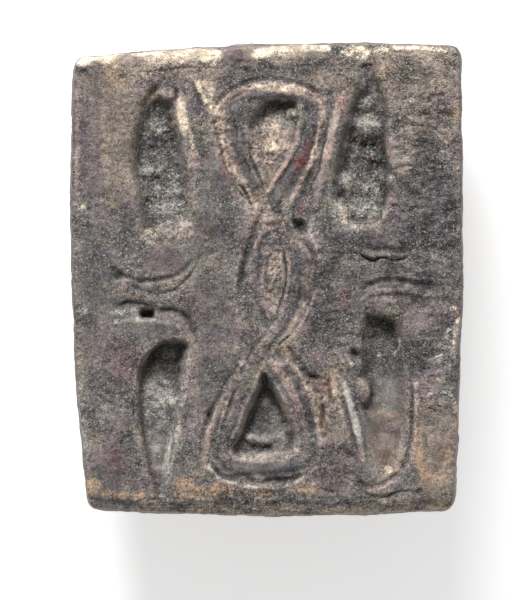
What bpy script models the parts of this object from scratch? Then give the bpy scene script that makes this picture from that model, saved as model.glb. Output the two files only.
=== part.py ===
"""A scaraboid: a small carved seal of dark stone.

The block is nearly rectangular, with a flat carved face, a plain domed back and a string hole from end
to end. It is modelled as it lies when it is loose, on the small flat of its back with the carved face up.
+X is the right of the face, +Y its upper end, and +Z points out of it. The origin is in the middle of the
flat that the stone rests on.

The face carries one endless ribbon that crosses itself twice and makes three loops, between four leaf
shaped hollows with curved cuts at their inner ends.
"""
import math
from collections import namedtuple

import bmesh
import bpy
import numpy as np
from mathutils import Vector
from mathutils.geometry import delaunay_2d_cdt

# Lengths are in millimetres, and the mesh is made in metres.
MM = 0.001

# The block
WIDTH = 13.3
LENGTH = 16.0
HEIGHT = 7.2
GIRDLE_HEIGHT = 4.7
REST_WIDTH = 4.6
CORNER_RADIUS = 0.5
EDGE_TUCK = 0.12
BACK_FULLNESS = 2.6

# The string hole
HOLE_DIAMETER = 1.8
HOLE_HEIGHT = 3.3
MOUTH_DIAMETER = 2.5
MOUTH_DEPTH = 0.7

# Places on the face are in hundredths of half the width and half the length, from the middle.
HUNDRED = 100

# The outline's corners, anticlockwise from the upper right, and how far the side after each bows out
CORNERS = ((98, 98.5), (-98, 93.5), (-90.5, -97), (95.5, -97.5))
SIDE_BOWS = (3, 5, 2.8, 2.4)

# The worn edge of the face: how wide it is and how far it falls, for the upper, left, lower and right sides
Edge = namedtuple("Edge", "width fall")
EDGES = (Edge(0.75, 0.5), Edge(0.2, 0.16), Edge(0.57, 0.5), Edge(0.2, 0.2))

# A hollow has rows of place along, left and right edge, and depth; its walls are left, right, upper, lower.
Hollow = namedtuple("Hollow", "rows walls")
# A side wall takes at most this share of its hollow's width.
WIDEST_WALL = 0.45
LEAF_UPPER_LEFT = Hollow(
    (
        (80, -55, -46, 0.35),
        (74, -61, -41, 0.7),
        (64, -66, -37, 0.85),
        (50, -69.5, -33, 0.9),
        (36, -68.5, -36.5, 0.9),
        (24, -66, -35.5, 0.8),
        (14, -60, -40, 0.6),
    ),
    (0.42, 0.6, 0.25, 0.25),
)
LEAF_LOWER_LEFT = Hollow(
    (
        (-27, -60, -41, 1.1),
        (-34, -64, -38.5, 1.2),
        (-50, -66.5, -41, 1.15),
        (-66, -64, -44.5, 0.95),
        (-80, -61.5, -48.5, 0.75),
        (-90, -59, -50.5, 0.6),
        (-101, -58.5, -51, 0.4),
    ),
    (0.3, 0.4, 0.2, 0.05),
)
LEAF_UPPER_RIGHT = Hollow(
    (
        (91, 46.5, 53.5, 0.3),
        (84, 45, 57, 0.45),
        (74, 41.5, 61, 0.7),
        (60, 36.5, 62.5, 0.8),
        (46, 32, 64, 0.8),
        (32, 31, 64, 0.75),
        (22, 35, 60, 0.5),
    ),
    (0.45, 0.25, 0.2, 0.35),
)
LEAF_LOWER_RIGHT = Hollow(
    (
        (-14, 50, 62, 0.75),
        (-19, 45.5, 68.5, 0.85),
        (-28, 42, 70.5, 0.85),
        (-38, 41, 71.5, 0.75),
        (-54, 45, 72, 0.55),
        (-68, 49, 70, 0.5),
        (-78, 52.5, 65.5, 0.45),
        (-83, 57, 61, 0.35),
    ),
    (0.25, 0.25, 0.25, 0.35),
)
LOOP_HOLLOW_UPPER = Hollow(
    (
        (77, -12, 17, 0.8),
        (68, -13, 17.5, 0.85),
        (58, -11.5, 15.5, 0.8),
        (48, -7.5, 10, 0.7),
        (38, -1.5, 4.5, 0.5),
        (32, 1, 3, 0.25),
    ),
    (0.25, 0.3, 0.3, 0.3),
)
LOOP_HOLLOW_LOWER = Hollow(
    (
        (-38, -2, 0, 0.5),
        (-44, -5.5, 4.5, 0.9),
        (-54, -11, 11, 1.0),
        (-64, -16, 16, 0.95),
        (-71, -20.5, 15.5, 0.8),
        (-77, -20, 12, 0.5),
    ),
    (0.25, 0.3, 0.1, 0.5),
)
LOOP_LENS = Hollow(
    (
        (18, 3, 7, 0.1),
        (8, -1, 9.5, 0.18),
        (-4, -2, 9, 0.18),
        (-16, 0, 4, 0.1),
    ),
    (0.15, 0.15, 0.2, 0.2),
)
PIT_LOWER_LEFT = Hollow(
    (
        (-11.5, -63, -56, 0.8),
        (-16.5, -63, -56, 0.8),
    ),
    (0.1, 0.1, 0.1, 0.1),
)
HOLLOWS = (
    LEAF_UPPER_LEFT,
    LEAF_LOWER_LEFT,
    LEAF_UPPER_RIGHT,
    LEAF_LOWER_RIGHT,
    LOOP_HOLLOW_UPPER,
    LOOP_HOLLOW_LOWER,
    LOOP_LENS,
    PIT_LOWER_LEFT,
)

# A groove is a round-bottomed cut along a curve, which runs out at both ends.
Groove = namedtuple("Groove", "points half_width depth")
GROOVES = (
    # Round the upper loop, from its lower left over the top to its lower right
    Groove(((-6, 26), (-14, 38), (-22, 50), (-25.5, 64), (-23, 76)), 0.3, 0.28),
    Groove(((-28, 69), (-23, 78), (-13, 82.5), (0, 84), (14, 83.2), (25, 80), (30.5, 72)), 0.2, 0.36),
    Groove(((29, 78), (30, 66), (27.5, 54), (22.5, 41), (16, 29), (14, 22)), 0.24, 0.28),
    # Beside the middle loop, left and right
    Groove(((-4, 26), (-8, 17), (-12, 7), (-13.5, -2), (-13, -12), (-9, -21)), 0.15, 0.3),
    Groove(((16, 19), (21.5, 11), (23.5, 2), (22.5, -7), (19, -15), (12, -24)), 0.24, 0.22),
    # Round the lower loop
    Groove(((-8, -27), (-15, -36), (-21, -45), (-27, -56), (-30.5, -66), (-31, -76)), 0.15, 0.22),
    Groove(((-28, -77), (-24, -80.5), (-12, -83.5), (2, -84.3), (13, -83), (21, -79.5), (25, -74)), 0.2, 0.42),
    Groove(((12, -31), (18, -40), (22, -50), (25, -60), (25.5, -70), (22, -79)), 0.26, 0.22),
    # The curved cuts at the inner ends of the leaf hollows
    Groove(((-79, 5), (-72, 1.8), (-60, 0.3), (-50, 1), (-43, 4.5), (-37, 11)), 0.18, 0.32),
    Groove(((-71, -1.5), (-62, -4.5), (-52, -4.3), (-44, -1), (-38, 4), (-34, 12)), 0.09, 0.16),
    Groove(((-81, -13), (-72, -11), (-62, -12.5), (-50, -12.5), (-42, -16), (-37, -21), (-36, -28)), 0.18, 0.38),
    Groove(((40, 19), (46, 15), (54, 13.2), (65, 13), (76, 12.8), (84, 12)), 0.17, 0.3),
    Groove(((41, 12), (48, 9), (56, 7.5), (64, 7), (71, 9)), 0.09, 0.16),
    Groove(((43, -8), (49, -2.8), (57, -0.4), (66, -0.3), (76, -2.2), (88, -3)), 0.17, 0.3),
    # Round the lower right leaf
    Groove(((75, -42), (74, -56), (73, -66), (70, -75), (64, -82), (55, -86), (48, -83), (42, -76)), 0.15, 0.3),
    Groove(((37, -41), (39.5, -50), (42.5, -60), (45.5, -70), (48, -79)), 0.12, 0.24),
)
RUN_OUT = 0.7

# The ribbon, in four stretches; each lies over the ones before it. Half widths are for its two ends.
Band = namedtuple("Band", "points half_widths")
BANDS = (
    Band(
        ((0, 79.5), (-11, 77.5), (-17.5, 70), (-16, 59), (-11.5, 49), (-5, 40), (1, 31), (8, 22), (13, 12), (14, 0)),
        (0.2, 0.26),
    ),
    Band(
        ((-8, 2), (-7.5, -9), (-3, -18), (3, -26), (9, -35), (14, -46), (18, -57), (20, -67), (17, -76), (0, -79)),
        (0.27, 0.2),
    ),
    Band(
        ((0, 79.5), (13, 79), (22, 74), (21.5, 63), (16.5, 52), (11, 42), (6, 32), (0, 23), (-5, 13), (-8, 0)),
        (0.2, 0.27),
    ),
    Band(
        ((14, 4), (13.5, -6), (10, -15), (4, -22), (-2, -28), (-8, -37), (-13.5, -48), (-19, -59), (-23, -70),
         (-19, -77), (0, -79)),
        (0.26, 0.2),
    ),
)
BAND_SINK = 0.05
BAND_ROUND = 0.1
MOAT_WIDTH = 0.14
MOAT_DEPTH = 0.2

# How finely the curves are followed
LINE_STEP = 0.4
FILL_STEP = 1.1
SIDE_STEPS = 24
CORNER_STEPS = 5
EDGE_STEPS = 3
WALL_STEPS = 3
BACK_STEPS = 9
HOLE_STEPS = 20
# Points of the face's lines that are nearer than this are one point.
JOIN_DISTANCE = 0.015
# A line that runs out over the face's edge stops this far inside it.
EDGE_CLEARANCE = 0.04
# The cutter of the string hole runs out of the stone by this much.
CUT_PAST = 1.0
SHARP_ANGLE = math.radians(32)
# The rim of a hollow has points at these shares of its end walls, so that its corners are round.
CORNER_SHARES = (0.12, 0.45, 1)

STONE_COLOUR = (0.115, 0.094, 0.086, 1)
STONE_ROUGHNESS = 0.72


def clear_scene():
    """Removes whatever the file holds already."""
    for item in list(bpy.data.objects):
        bpy.data.objects.remove(item, do_unlink=True)


def on_face(points):
    """Turns places in hundredths of the half sizes into millimetres."""
    return np.array(points, dtype=float) / HUNDRED * (WIDTH / 2, LENGTH / 2)


def smooth(at, values, wanted):
    """Reads a smooth curve through the values, which are given at rising positions."""
    slopes = np.gradient(values, at)
    first = np.clip(np.searchsorted(at, wanted, side="right") - 1, 0, len(at) - 2)
    span = at[first + 1] - at[first]
    t = (wanted - at[first]) / span
    return (
        (2 * t**3 - 3 * t**2 + 1) * values[first]
        + (t**3 - 2 * t**2 + t) * span * slopes[first]
        + (3 * t**2 - 2 * t**3) * values[first + 1]
        + (t**3 - t**2) * span * slopes[first + 1]
    )


def run_of(line):
    """How far along a line each of its points lies."""
    return np.concatenate(([0], np.cumsum(np.linalg.norm(np.diff(line, axis=0), axis=1))))


def curve(points):
    """A smooth line through a few places on the face, in millimetres."""
    knots = on_face(points)
    run = run_of(knots)
    steps = max(2, round(run[-1] / LINE_STEP))
    wanted = np.linspace(0, run[-1], steps + 1)
    return np.column_stack([smooth(run, knots[:, axis], wanted) for axis in range(2)])


def left_of(line, closed=False):
    """For each point of a line, the unit vector to the left of its run."""
    if closed:
        run = np.roll(line, -1, axis=0) - np.roll(line, 1, axis=0)
    else:
        run = np.gradient(line, axis=0)
    run = run / np.linalg.norm(run, axis=1)[:, None]
    return np.column_stack((-run[:, 1], run[:, 0]))


def nearest(line, places):
    """How far each place is from a line, and how far along the line its nearest point lies."""
    start = line[:-1]
    step = line[1:] - start
    length = np.linalg.norm(step, axis=1)
    offset = places[:, None, :] - start[None, :, :]
    share = np.clip((offset * step).sum(axis=2) / length**2, 0, 1)
    gap = np.linalg.norm(offset - share[:, :, None] * step, axis=2)
    best = gap.argmin(axis=1)
    rows = np.arange(len(places))
    run = run_of(line)
    return gap[rows, best], run[best] + share[rows, best] * length[best], run[-1]


def outline():
    """The stone's outline at its widest, anticlockwise."""
    corners = on_face(CORNERS)
    across = (LENGTH / 2, WIDTH / 2, LENGTH / 2, WIDTH / 2)
    sides = []
    for index, start in enumerate(corners):
        end = corners[(index + 1) % len(corners)]
        run = end - start
        size = np.linalg.norm(run)
        outward = np.array((run[1], -run[0])) / size
        t = np.linspace(CORNER_RADIUS / size, 1 - CORNER_RADIUS / size, SIDE_STEPS + 1)[:, None]
        bow = SIDE_BOWS[index] / HUNDRED * across[index]
        sides.append(start + run * t + outward * bow * 4 * t * (1 - t))
    points = []
    for index, side in enumerate(sides):
        points.extend(side)
        following = sides[(index + 1) % len(sides)][0]
        corner = corners[(index + 1) % len(corners)]
        for step in range(1, CORNER_STEPS):
            t = step / CORNER_STEPS
            points.append((1 - t) ** 2 * side[-1] + 2 * t * (1 - t) * corner + t**2 * following)
    points = np.array(points)
    low, high = points.min(axis=0), points.max(axis=0)
    return ((points - low) / (high - low) - 0.5) * (WIDTH, LENGTH)


GIRDLE = outline()
FACE_EDGE = GIRDLE + left_of(GIRDLE, closed=True) * EDGE_TUCK


def worn_edge(places):
    """The width and fall of the worn edge near each place, mixed from the sides that are nearest to it."""
    x, y = places.T
    gaps = (LENGTH / 2 - y, WIDTH / 2 + x, LENGTH / 2 + y, WIDTH / 2 - x)
    weights = np.array([1 / (np.maximum(gap, 0) + CORNER_RADIUS) ** 4 for gap in gaps])
    weights = weights / weights.sum(axis=0)
    widths = sum(weight * edge.width for weight, edge in zip(weights, EDGES))
    falls = sum(weight * edge.fall for weight, edge in zip(weights, EDGES))
    return widths, falls


def edge_gap(places):
    """How far inside the face's edge each place is; the edge is convex, so its nearest side tells."""
    run = np.roll(FACE_EDGE, -1, axis=0) - FACE_EDGE
    inward = np.column_stack((-run[:, 1], run[:, 0])) / np.linalg.norm(run, axis=1)[:, None]
    return ((places[:, None, :] - FACE_EDGE[None, :, :]) * inward).sum(axis=2).min(axis=1)


def edge_fall(places):
    """How far the worn edge has fallen below the face at each place."""
    widths, falls = worn_edge(places)
    reach = np.clip(1 - edge_gap(places) / widths, 0, 1)
    return falls * (1 - np.sqrt(1 - reach**2))


def hollow_edges(hollow, along):
    """The left and right edge, the wall widths there and the depth of a hollow, at places along the face."""
    rows = np.array(hollow.rows[::-1], dtype=float)
    at = rows[:, 0] / HUNDRED * LENGTH / 2
    left = smooth(at, rows[:, 1] / HUNDRED * WIDTH / 2, along)
    right = smooth(at, rows[:, 2] / HUNDRED * WIDTH / 2, along)
    widest = (right - left) * WIDEST_WALL
    left_wall = np.minimum(hollow.walls[0], widest)
    right_wall = np.minimum(hollow.walls[1], widest)
    return left, right, left_wall, right_wall, smooth(at, rows[:, 3], along)


def hollow_ends(hollow):
    """The upper and lower end of a hollow, along the face."""
    return hollow.rows[0][0] / HUNDRED * LENGTH / 2, hollow.rows[-1][0] / HUNDRED * LENGTH / 2


def end_reach(hollow, along):
    """0 at a hollow's two ends, rising to 1 where their walls meet its floor."""
    upper, lower = hollow_ends(hollow)
    return np.clip(np.minimum((upper - along) / hollow.walls[2], (along - lower) / hollow.walls[3]), 0, 1)


def hollow_depth(hollow, places):
    """How deep a hollow is at each place, 0 outside it; its corners are round."""
    x, y = places.T
    upper, lower = hollow_ends(hollow)
    left, right, left_wall, right_wall, depth = hollow_edges(hollow, np.clip(y, lower, upper))
    side_reach = np.clip(np.minimum((x - left) / left_wall, (right - x) / right_wall), 0, 1)
    reach = np.clip(1 - np.hypot(1 - side_reach, 1 - end_reach(hollow, y)), 0, 1)
    return depth * reach**2 * (3 - 2 * reach)


def run_out(along, total):
    """1 along a cut, falling to 0 at its two ends."""
    reach = np.clip(np.minimum(along, total - along) / min(RUN_OUT, total / 2), 0, 1)
    return np.sqrt(reach * (2 - reach))


def groove_depth(groove, places):
    """How deep a groove is at each place, 0 outside it."""
    gap, along, total = nearest(curve(groove.points), places)
    share = run_out(along, total)
    across = np.clip(gap / np.maximum(groove.half_width * share, JOIN_DISTANCE), 0, 1)
    return groove.depth * share * (1 - across**2)


def band_half_width(band, along, total):
    """Half the ribbon's width along one stretch."""
    return band.half_widths[0] + (band.half_widths[1] - band.half_widths[0]) * along / total


def lay_band(band, places, height):
    """The face's height once a stretch of ribbon lies on it, with a small moat on either side."""
    gap, along, total = nearest(curve(band.points), places)
    half_width = band_half_width(band, along, total)
    beside = (gap - half_width) / MOAT_WIDTH
    moat = -MOAT_DEPTH * run_out(along, total) * np.clip(1 - np.abs(2 * beside - 1), 0, 1)
    ribbon = -BAND_SINK - BAND_ROUND * (gap / half_width) ** 2
    between_ends = (along > 0) & (along < total)
    in_ribbon = between_ends & (gap <= half_width + JOIN_DISTANCE)
    return np.where(in_ribbon, ribbon, np.minimum(height, moat))


def relief(places):
    """The height of the carved face at each place, 0 where it is flat and uncut."""
    height = -edge_fall(places)
    for hollow in HOLLOWS:
        height = np.minimum(height, -hollow_depth(hollow, places))
    for groove in GROOVES:
        height = np.minimum(height, -groove_depth(groove, places))
    for band in BANDS:
        height = lay_band(band, places, height)
    return height


def hollow_lines(hollow):
    """The rim, the foot of the walls and the middle of a hollow."""
    upper, lower = hollow_ends(hollow)
    steps = max(2, round((upper - lower) / LINE_STEP))
    corners = [upper - hollow.walls[2] * share for share in CORNER_SHARES]
    corners += [lower + hollow.walls[3] * share for share in CORNER_SHARES]
    along = np.union1d(np.linspace(lower, upper, steps + 1), corners)
    left, right, left_wall, right_wall, _ = hollow_edges(hollow, along)
    inset = 1 - np.sqrt(1 - (1 - end_reach(hollow, along)) ** 2)
    left_rim = np.column_stack((left + left_wall * inset, along))
    right_rim = np.column_stack((right - right_wall * inset, along))
    yield np.vstack((left_rim, right_rim[::-1], left_rim[:1]))
    foot_along = np.clip(along, lower + hollow.walls[3], upper - hollow.walls[2])
    left, right, left_wall, right_wall, _ = hollow_edges(hollow, foot_along)
    yield np.column_stack((left + left_wall, foot_along))
    yield np.column_stack((right - right_wall, foot_along))
    for end in (0, -1):
        across = np.linspace(left[end] + left_wall[end], right[end] - right_wall[end], 3)
        yield np.column_stack((across, np.full(3, foot_along[end])))


def groove_lines(groove):
    """The bottom and the two rims of a groove."""
    line = curve(groove.points)
    yield line
    run = run_of(line)
    reach = groove.half_width * run_out(run, run[-1])
    sideways = left_of(line) * reach[:, None]
    yield line + sideways
    yield line - sideways


def band_lines(band):
    """The crest of a stretch of ribbon, its two shoulders, and the bottom and rim of each moat."""
    line = curve(band.points)
    yield line
    run = run_of(line)
    half_width = band_half_width(band, run, run[-1])
    for side in (-1, 1):
        for past in (0, MOAT_WIDTH / 2, MOAT_WIDTH):
            yield line + left_of(line) * ((half_width + past) * side)[:, None]


def edge_lines():
    """The closed lines that the worn edge of the face follows, inside its outermost one."""
    widths, _ = worn_edge(FACE_EDGE)
    inward = left_of(FACE_EDGE, closed=True)
    for step in range(1, EDGE_STEPS + 1):
        share = 1 - math.cos(math.pi / 2 * step / EDGE_STEPS)
        ring = FACE_EDGE + inward * (widths * share)[:, None]
        yield np.vstack((ring, ring[:1]))


def fill_points():
    """Places all over the face, in staggered rows."""
    points = []
    rows = int(LENGTH / FILL_STEP)
    for row in range(1, rows):
        y = -LENGTH / 2 + row * LENGTH / rows
        shift = FILL_STEP / 2 * (row % 2)
        columns = int((WIDTH - 2 * FILL_STEP) / FILL_STEP)
        for column in range(columns + 1):
            points.append((-WIDTH / 2 + FILL_STEP + shift + column * FILL_STEP, y))
    across, along = WIDTH / 2 - FILL_STEP, LENGTH / 2 - FILL_STEP
    return [(x, y) for x, y in points if abs(x) < across and abs(y) < along]


def face_mesh():
    """The carved face as triangles whose edges follow its lines; the outer ring's points come first."""
    count = len(FACE_EDGE)
    points = [tuple(place) for place in FACE_EDGE]
    edges = [(index, (index + 1) % count) for index in range(count)]
    lines = list(edge_lines())
    for hollow in HOLLOWS:
        lines.extend(hollow_lines(hollow))
    for groove in GROOVES:
        lines.extend(groove_lines(groove))
    for band in BANDS:
        lines.extend(band_lines(band))
    for line in lines:
        clear = edge_gap(line) > EDGE_CLEARANCE
        first = len(points)
        points.extend(tuple(place) for place in line[clear])
        number = first + np.cumsum(clear) - 1
        pairs = [(index, index + 1) for index in range(len(line) - 1)]
        edges.extend((number[start], number[end]) for start, end in pairs if clear[start] and clear[end])
    points.extend(fill_points())
    inside_constraints = 1
    verts, _, faces, origins, _, _ = delaunay_2d_cdt(
        [Vector(place) for place in points], edges, [], inside_constraints, JOIN_DISTANCE
    )
    ring = {}
    for index, sources in enumerate(origins):
        for source in sources:
            if source < count:
                ring[source] = index
    return np.array([tuple(vert) for vert in verts]), faces, [ring[index] for index in range(count)]


def back_ring(turn, last_turn):
    """One ring of the back, from the girdle at turn 0 to the flat that the stone rests on."""
    power = 2 / BACK_FULLNESS
    scale = math.cos(turn) ** power
    fall = math.sin(turn) ** power / math.sin(last_turn) ** power
    round_share = (turn / last_turn) ** 2
    angles = np.arctan2(GIRDLE[:, 1] / LENGTH, GIRDLE[:, 0] / WIDTH)
    oval = np.column_stack((np.cos(angles) * WIDTH / 2, np.sin(angles) * LENGTH / 2))
    ring = (GIRDLE * (1 - round_share) + oval * round_share) * scale
    return ring, GIRDLE_HEIGHT * (1 - fall)


def block_mesh():
    """The whole block before the string hole is cut."""
    mesh = bmesh.new()
    places, faces, ring_index = face_mesh()
    heights = HEIGHT + relief(places)
    verts = [mesh.verts.new((x * MM, y * MM, z * MM)) for (x, y), z in zip(places, heights)]
    for face in faces:
        mesh.faces.new([verts[index] for index in face])
    rings = [[verts[index] for index in ring_index]]
    edge_heights = heights[ring_index]
    for step in range(1, WALL_STEPS + 1):
        share = step / WALL_STEPS
        ring = FACE_EDGE + (GIRDLE - FACE_EDGE) * math.sin(math.pi / 2 * share)
        level = edge_heights + (GIRDLE_HEIGHT - edge_heights) * share
        rings.append([mesh.verts.new((x * MM, y * MM, z * MM)) for (x, y), z in zip(ring, level)])
    last_turn = math.acos((REST_WIDTH / WIDTH) ** (BACK_FULLNESS / 2))
    for step in range(1, BACK_STEPS + 1):
        ring, level = back_ring(last_turn * step / BACK_STEPS, last_turn)
        rings.append([mesh.verts.new((x * MM, y * MM, level * MM)) for x, y in ring])
    for upper, lower in zip(rings, rings[1:]):
        for index in range(len(upper)):
            after = (index + 1) % len(upper)
            mesh.faces.new((upper[index], lower[index], lower[after], upper[after]))
    mesh.faces.new(list(reversed(rings[-1])))
    bmesh.ops.recalc_face_normals(mesh, faces=mesh.faces)
    return mesh


def hole_cutter():
    """The turned shape of the string hole, with its worn, flared mouths, along Y."""
    mesh = bmesh.new()
    middle = LENGTH / 2 - MOUTH_DEPTH
    stations = (
        (-LENGTH / 2 - CUT_PAST, MOUTH_DIAMETER / 2),
        (-LENGTH / 2, MOUTH_DIAMETER / 2),
        (-middle, HOLE_DIAMETER / 2),
        (middle, HOLE_DIAMETER / 2),
        (LENGTH / 2, MOUTH_DIAMETER / 2),
        (LENGTH / 2 + CUT_PAST, MOUTH_DIAMETER / 2),
    )
    rings = []
    for along, radius in stations:
        ring = []
        for step in range(HOLE_STEPS):
            angle = 2 * math.pi * step / HOLE_STEPS
            x, z = radius * math.cos(angle), HOLE_HEIGHT + radius * math.sin(angle)
            ring.append(mesh.verts.new((x * MM, along * MM, z * MM)))
        rings.append(ring)
    for first, second in zip(rings, rings[1:]):
        for index in range(HOLE_STEPS):
            after = (index + 1) % HOLE_STEPS
            mesh.faces.new((first[index], first[after], second[after], second[index]))
    mesh.faces.new(rings[0])
    mesh.faces.new(list(reversed(rings[-1])))
    bmesh.ops.recalc_face_normals(mesh, faces=mesh.faces)
    return mesh


def add_object(name, mesh):
    """Makes an object of a finished mesh and puts it in the scene."""
    data = bpy.data.meshes.new(name)
    mesh.to_mesh(data)
    mesh.free()
    item = bpy.data.objects.new(name, data)
    bpy.context.scene.collection.objects.link(item)
    return item


def weathered_stone():
    """Dark grey-brown stone, dull and slightly worn."""
    material = bpy.data.materials.new("weathered_stone")
    material.use_nodes = True
    shader = material.node_tree.nodes["Principled BSDF"]
    shader.inputs["Base Color"].default_value = STONE_COLOUR
    shader.inputs["Roughness"].default_value = STONE_ROUGHNESS
    shader.inputs["Metallic"].default_value = 0
    return material


def seal_stone():
    """The carved block with its string hole."""
    stone = add_object("seal_stone", block_mesh())
    stone.data.materials.append(weathered_stone())
    stone.data.shade_smooth()
    stone.data.set_sharp_from_angle(angle=SHARP_ANGLE)
    cutter = add_object("string_hole_cutter", hole_cutter())
    cutter.hide_render = True
    cutter.display_type = "WIRE"
    cut = stone.modifiers.new("string hole", "BOOLEAN")
    cut.operation = "DIFFERENCE"
    cut.solver = "EXACT"
    cut.object = cutter
    return stone


clear_scene()
seal_stone()
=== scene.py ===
# %% [markdown]
# # A scaraboid, a small carved seal
#
# This lesson dresses one small seal of dark stone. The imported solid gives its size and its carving. On top
# of that the real stone has what two and a half thousand years do to it: softened edges, pits, crust in the
# cuts, and stains of ochre, cream and purple. The solid is replaced by one fine mesh of the same form, and
# the loose crust in the cuts becomes a second piece.

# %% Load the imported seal
import math
from collections import namedtuple

import bmesh
import bpy
import numpy as np
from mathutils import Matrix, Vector, noise


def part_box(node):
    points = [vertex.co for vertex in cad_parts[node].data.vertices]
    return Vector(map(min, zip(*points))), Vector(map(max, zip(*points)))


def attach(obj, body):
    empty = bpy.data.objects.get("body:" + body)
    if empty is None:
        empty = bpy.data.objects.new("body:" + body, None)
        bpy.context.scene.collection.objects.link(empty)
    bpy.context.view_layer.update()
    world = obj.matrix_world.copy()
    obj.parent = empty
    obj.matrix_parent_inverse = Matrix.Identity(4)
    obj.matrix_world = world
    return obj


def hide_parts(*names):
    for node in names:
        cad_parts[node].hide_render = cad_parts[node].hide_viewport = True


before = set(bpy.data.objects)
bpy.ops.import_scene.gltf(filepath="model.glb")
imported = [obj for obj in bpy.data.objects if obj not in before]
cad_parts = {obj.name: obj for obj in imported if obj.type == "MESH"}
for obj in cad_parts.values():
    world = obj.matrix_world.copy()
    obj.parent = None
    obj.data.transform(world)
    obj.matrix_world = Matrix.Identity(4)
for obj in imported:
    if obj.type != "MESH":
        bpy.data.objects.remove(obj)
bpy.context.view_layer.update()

# Lengths in this script are in millimetres, and meshes are made in metres.
MM = 0.001
lowest, highest = (np.array(corner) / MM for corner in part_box("seal_stone"))
WIDTH, LENGTH, HEIGHT = highest - lowest
print(f"the seal is {WIDTH:.1f} by {LENGTH:.1f} by {HEIGHT:.1f} mm")

# %% [markdown]
# ## The outline
#
# Seen from above, the stone is nearly a rectangle: its sides bow out a little and its corners are worn
# round. It could be a scaled cube with a bevel, but then every corner would be alike. Four corners and four
# bows, from which a function draws the outline, give the slightly crooked shape of a hand-cut block.

# %% Outline of the block
# Places on the face are in hundredths of its half sizes, and so are the corners and bows here.
HUNDRED = 100
CORNERS = ((98, 98.5), (-98.3, 93.5), (-91, -97.4), (94.8, -97.3))
SIDE_BOWS = (3, 5, 2.8, 2.4)
CORNER_RADIUS = 0.5
EDGE_TUCK = 0.12
SIDE_STEPS = 120
CORNER_STEPS = 12


def on_face(points):
    """Turns places in hundredths of the half sizes into millimetres from the middle."""
    return np.array(points, dtype=float) / HUNDRED * (WIDTH / 2, LENGTH / 2)


def outline():
    """The stone's outline at its widest, anticlockwise from its upper right corner."""
    corners = on_face(CORNERS)
    across = (LENGTH / 2, WIDTH / 2, LENGTH / 2, WIDTH / 2)
    sides = []
    for index, start in enumerate(corners):
        run = corners[(index + 1) % len(corners)] - start
        size = np.linalg.norm(run)
        outward = np.array((run[1], -run[0])) / size
        t = np.linspace(CORNER_RADIUS / size, 1 - CORNER_RADIUS / size, SIDE_STEPS + 1)[:, None]
        bow = SIDE_BOWS[index] / HUNDRED * across[index]
        sides.append(start + run * t + outward * bow * 4 * t * (1 - t))
    points = []
    for index, side in enumerate(sides):
        points.extend(side)
        following = sides[(index + 1) % len(sides)][0]
        corner = corners[(index + 1) % len(corners)]
        for step in range(1, CORNER_STEPS):
            t = step / CORNER_STEPS
            points.append((1 - t) ** 2 * side[-1] + 2 * t * (1 - t) * corner + t**2 * following)
    points = np.array(points)
    low, high = points.min(axis=0), points.max(axis=0)
    return ((points - low) / (high - low) - 0.5) * (WIDTH, LENGTH)


print(f"the outline has {len(outline())} points")


# %% Lines and noise
def run_of(line):
    """How far along a line each of its points lies."""
    return np.concatenate(([0], np.cumsum(np.linalg.norm(np.diff(line, axis=0), axis=1))))


def noise_at(points, size, octaves=3, shift=0.0):
    """Smooth noise, about -1 to 1, with features of a size in millimetres; each shift gives other noise."""
    scaled = np.asarray(points) / size + shift
    return np.array([noise.fractal(point, 1.0, 2.0, octaves) for point in scaled.tolist()])


def flat_noise(places, size, octaves=3, shift=0.0):
    """The same noise at places on the face."""
    return noise_at(np.column_stack((places, np.zeros(len(places)))), size, octaves, shift)


def left_of(line):
    """For each point of a closed line, the unit vector to the left of its run."""
    run = np.roll(line, -1, axis=0) - np.roll(line, 1, axis=0)
    run = run / np.linalg.norm(run, axis=1)[:, None]
    return np.column_stack((-run[:, 1], run[:, 0]))


def ramped(values, start, end):
    """0 up to a start, 1 from an end on, and straight between."""
    return np.clip((values - start) / (end - start), 0, 1)


def eased(share):
    """Turns a straight rise from 0 to 1 into one that starts and ends softly."""
    return share**2 * (3 - 2 * share)


print(f"the outline is {run_of(outline())[-1]:.1f} mm round")

# %% The rim and its chips
# The face is a grid of this many cells, and its rim has a point for each outer cell.
COLUMNS = 240
ROWS = 288
SIDE_CELLS = (ROWS, COLUMNS, ROWS, COLUMNS)


def even_ring():
    """Evenly spaced points round the outline: down the left side, then along the bottom, right and top."""
    dense = outline()
    per_side = SIDE_STEPS + CORNER_STEPS
    middles = [side * per_side + SIDE_STEPS + CORNER_STEPS // 2 for side in range(4)]
    ring = []
    for side, cells in enumerate(SIDE_CELLS):
        start = middles[side]
        stretch = dense[np.arange(start, start + per_side + 1) % len(dense)]
        run = run_of(stretch)
        wanted = np.linspace(0, run[-1], cells + 1)[:-1]
        ring.append(np.column_stack([np.interp(wanted, run, stretch[:, axis]) for axis in range(2)]))
    return np.vstack(ring)


# Small chips all round the rim: how long they are and how far they cut in, and how common they are
CHIPS = ((1.7, 0.045), (0.5, 0.018), (0.18, 0.014))
CHIP_SHARE = 0.35
UNCHIPPED = even_ring()
INWARD = left_of(UNCHIPPED)
CLEAN_EDGE = UNCHIPPED + INWARD * EDGE_TUCK
chipped = sum(
    reach * np.clip(CHIP_SHARE + flat_noise(UNCHIPPED, size, 3, size), 0, 1) for size, reach in CHIPS
)
GIRDLE = UNCHIPPED + INWARD * chipped[:, None]
FACE_EDGE = CLEAN_EDGE + INWARD * chipped[:, None]
print(f"the rim has {len(GIRDLE)} points and chips of up to {chipped.max():.2f} mm")

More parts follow.
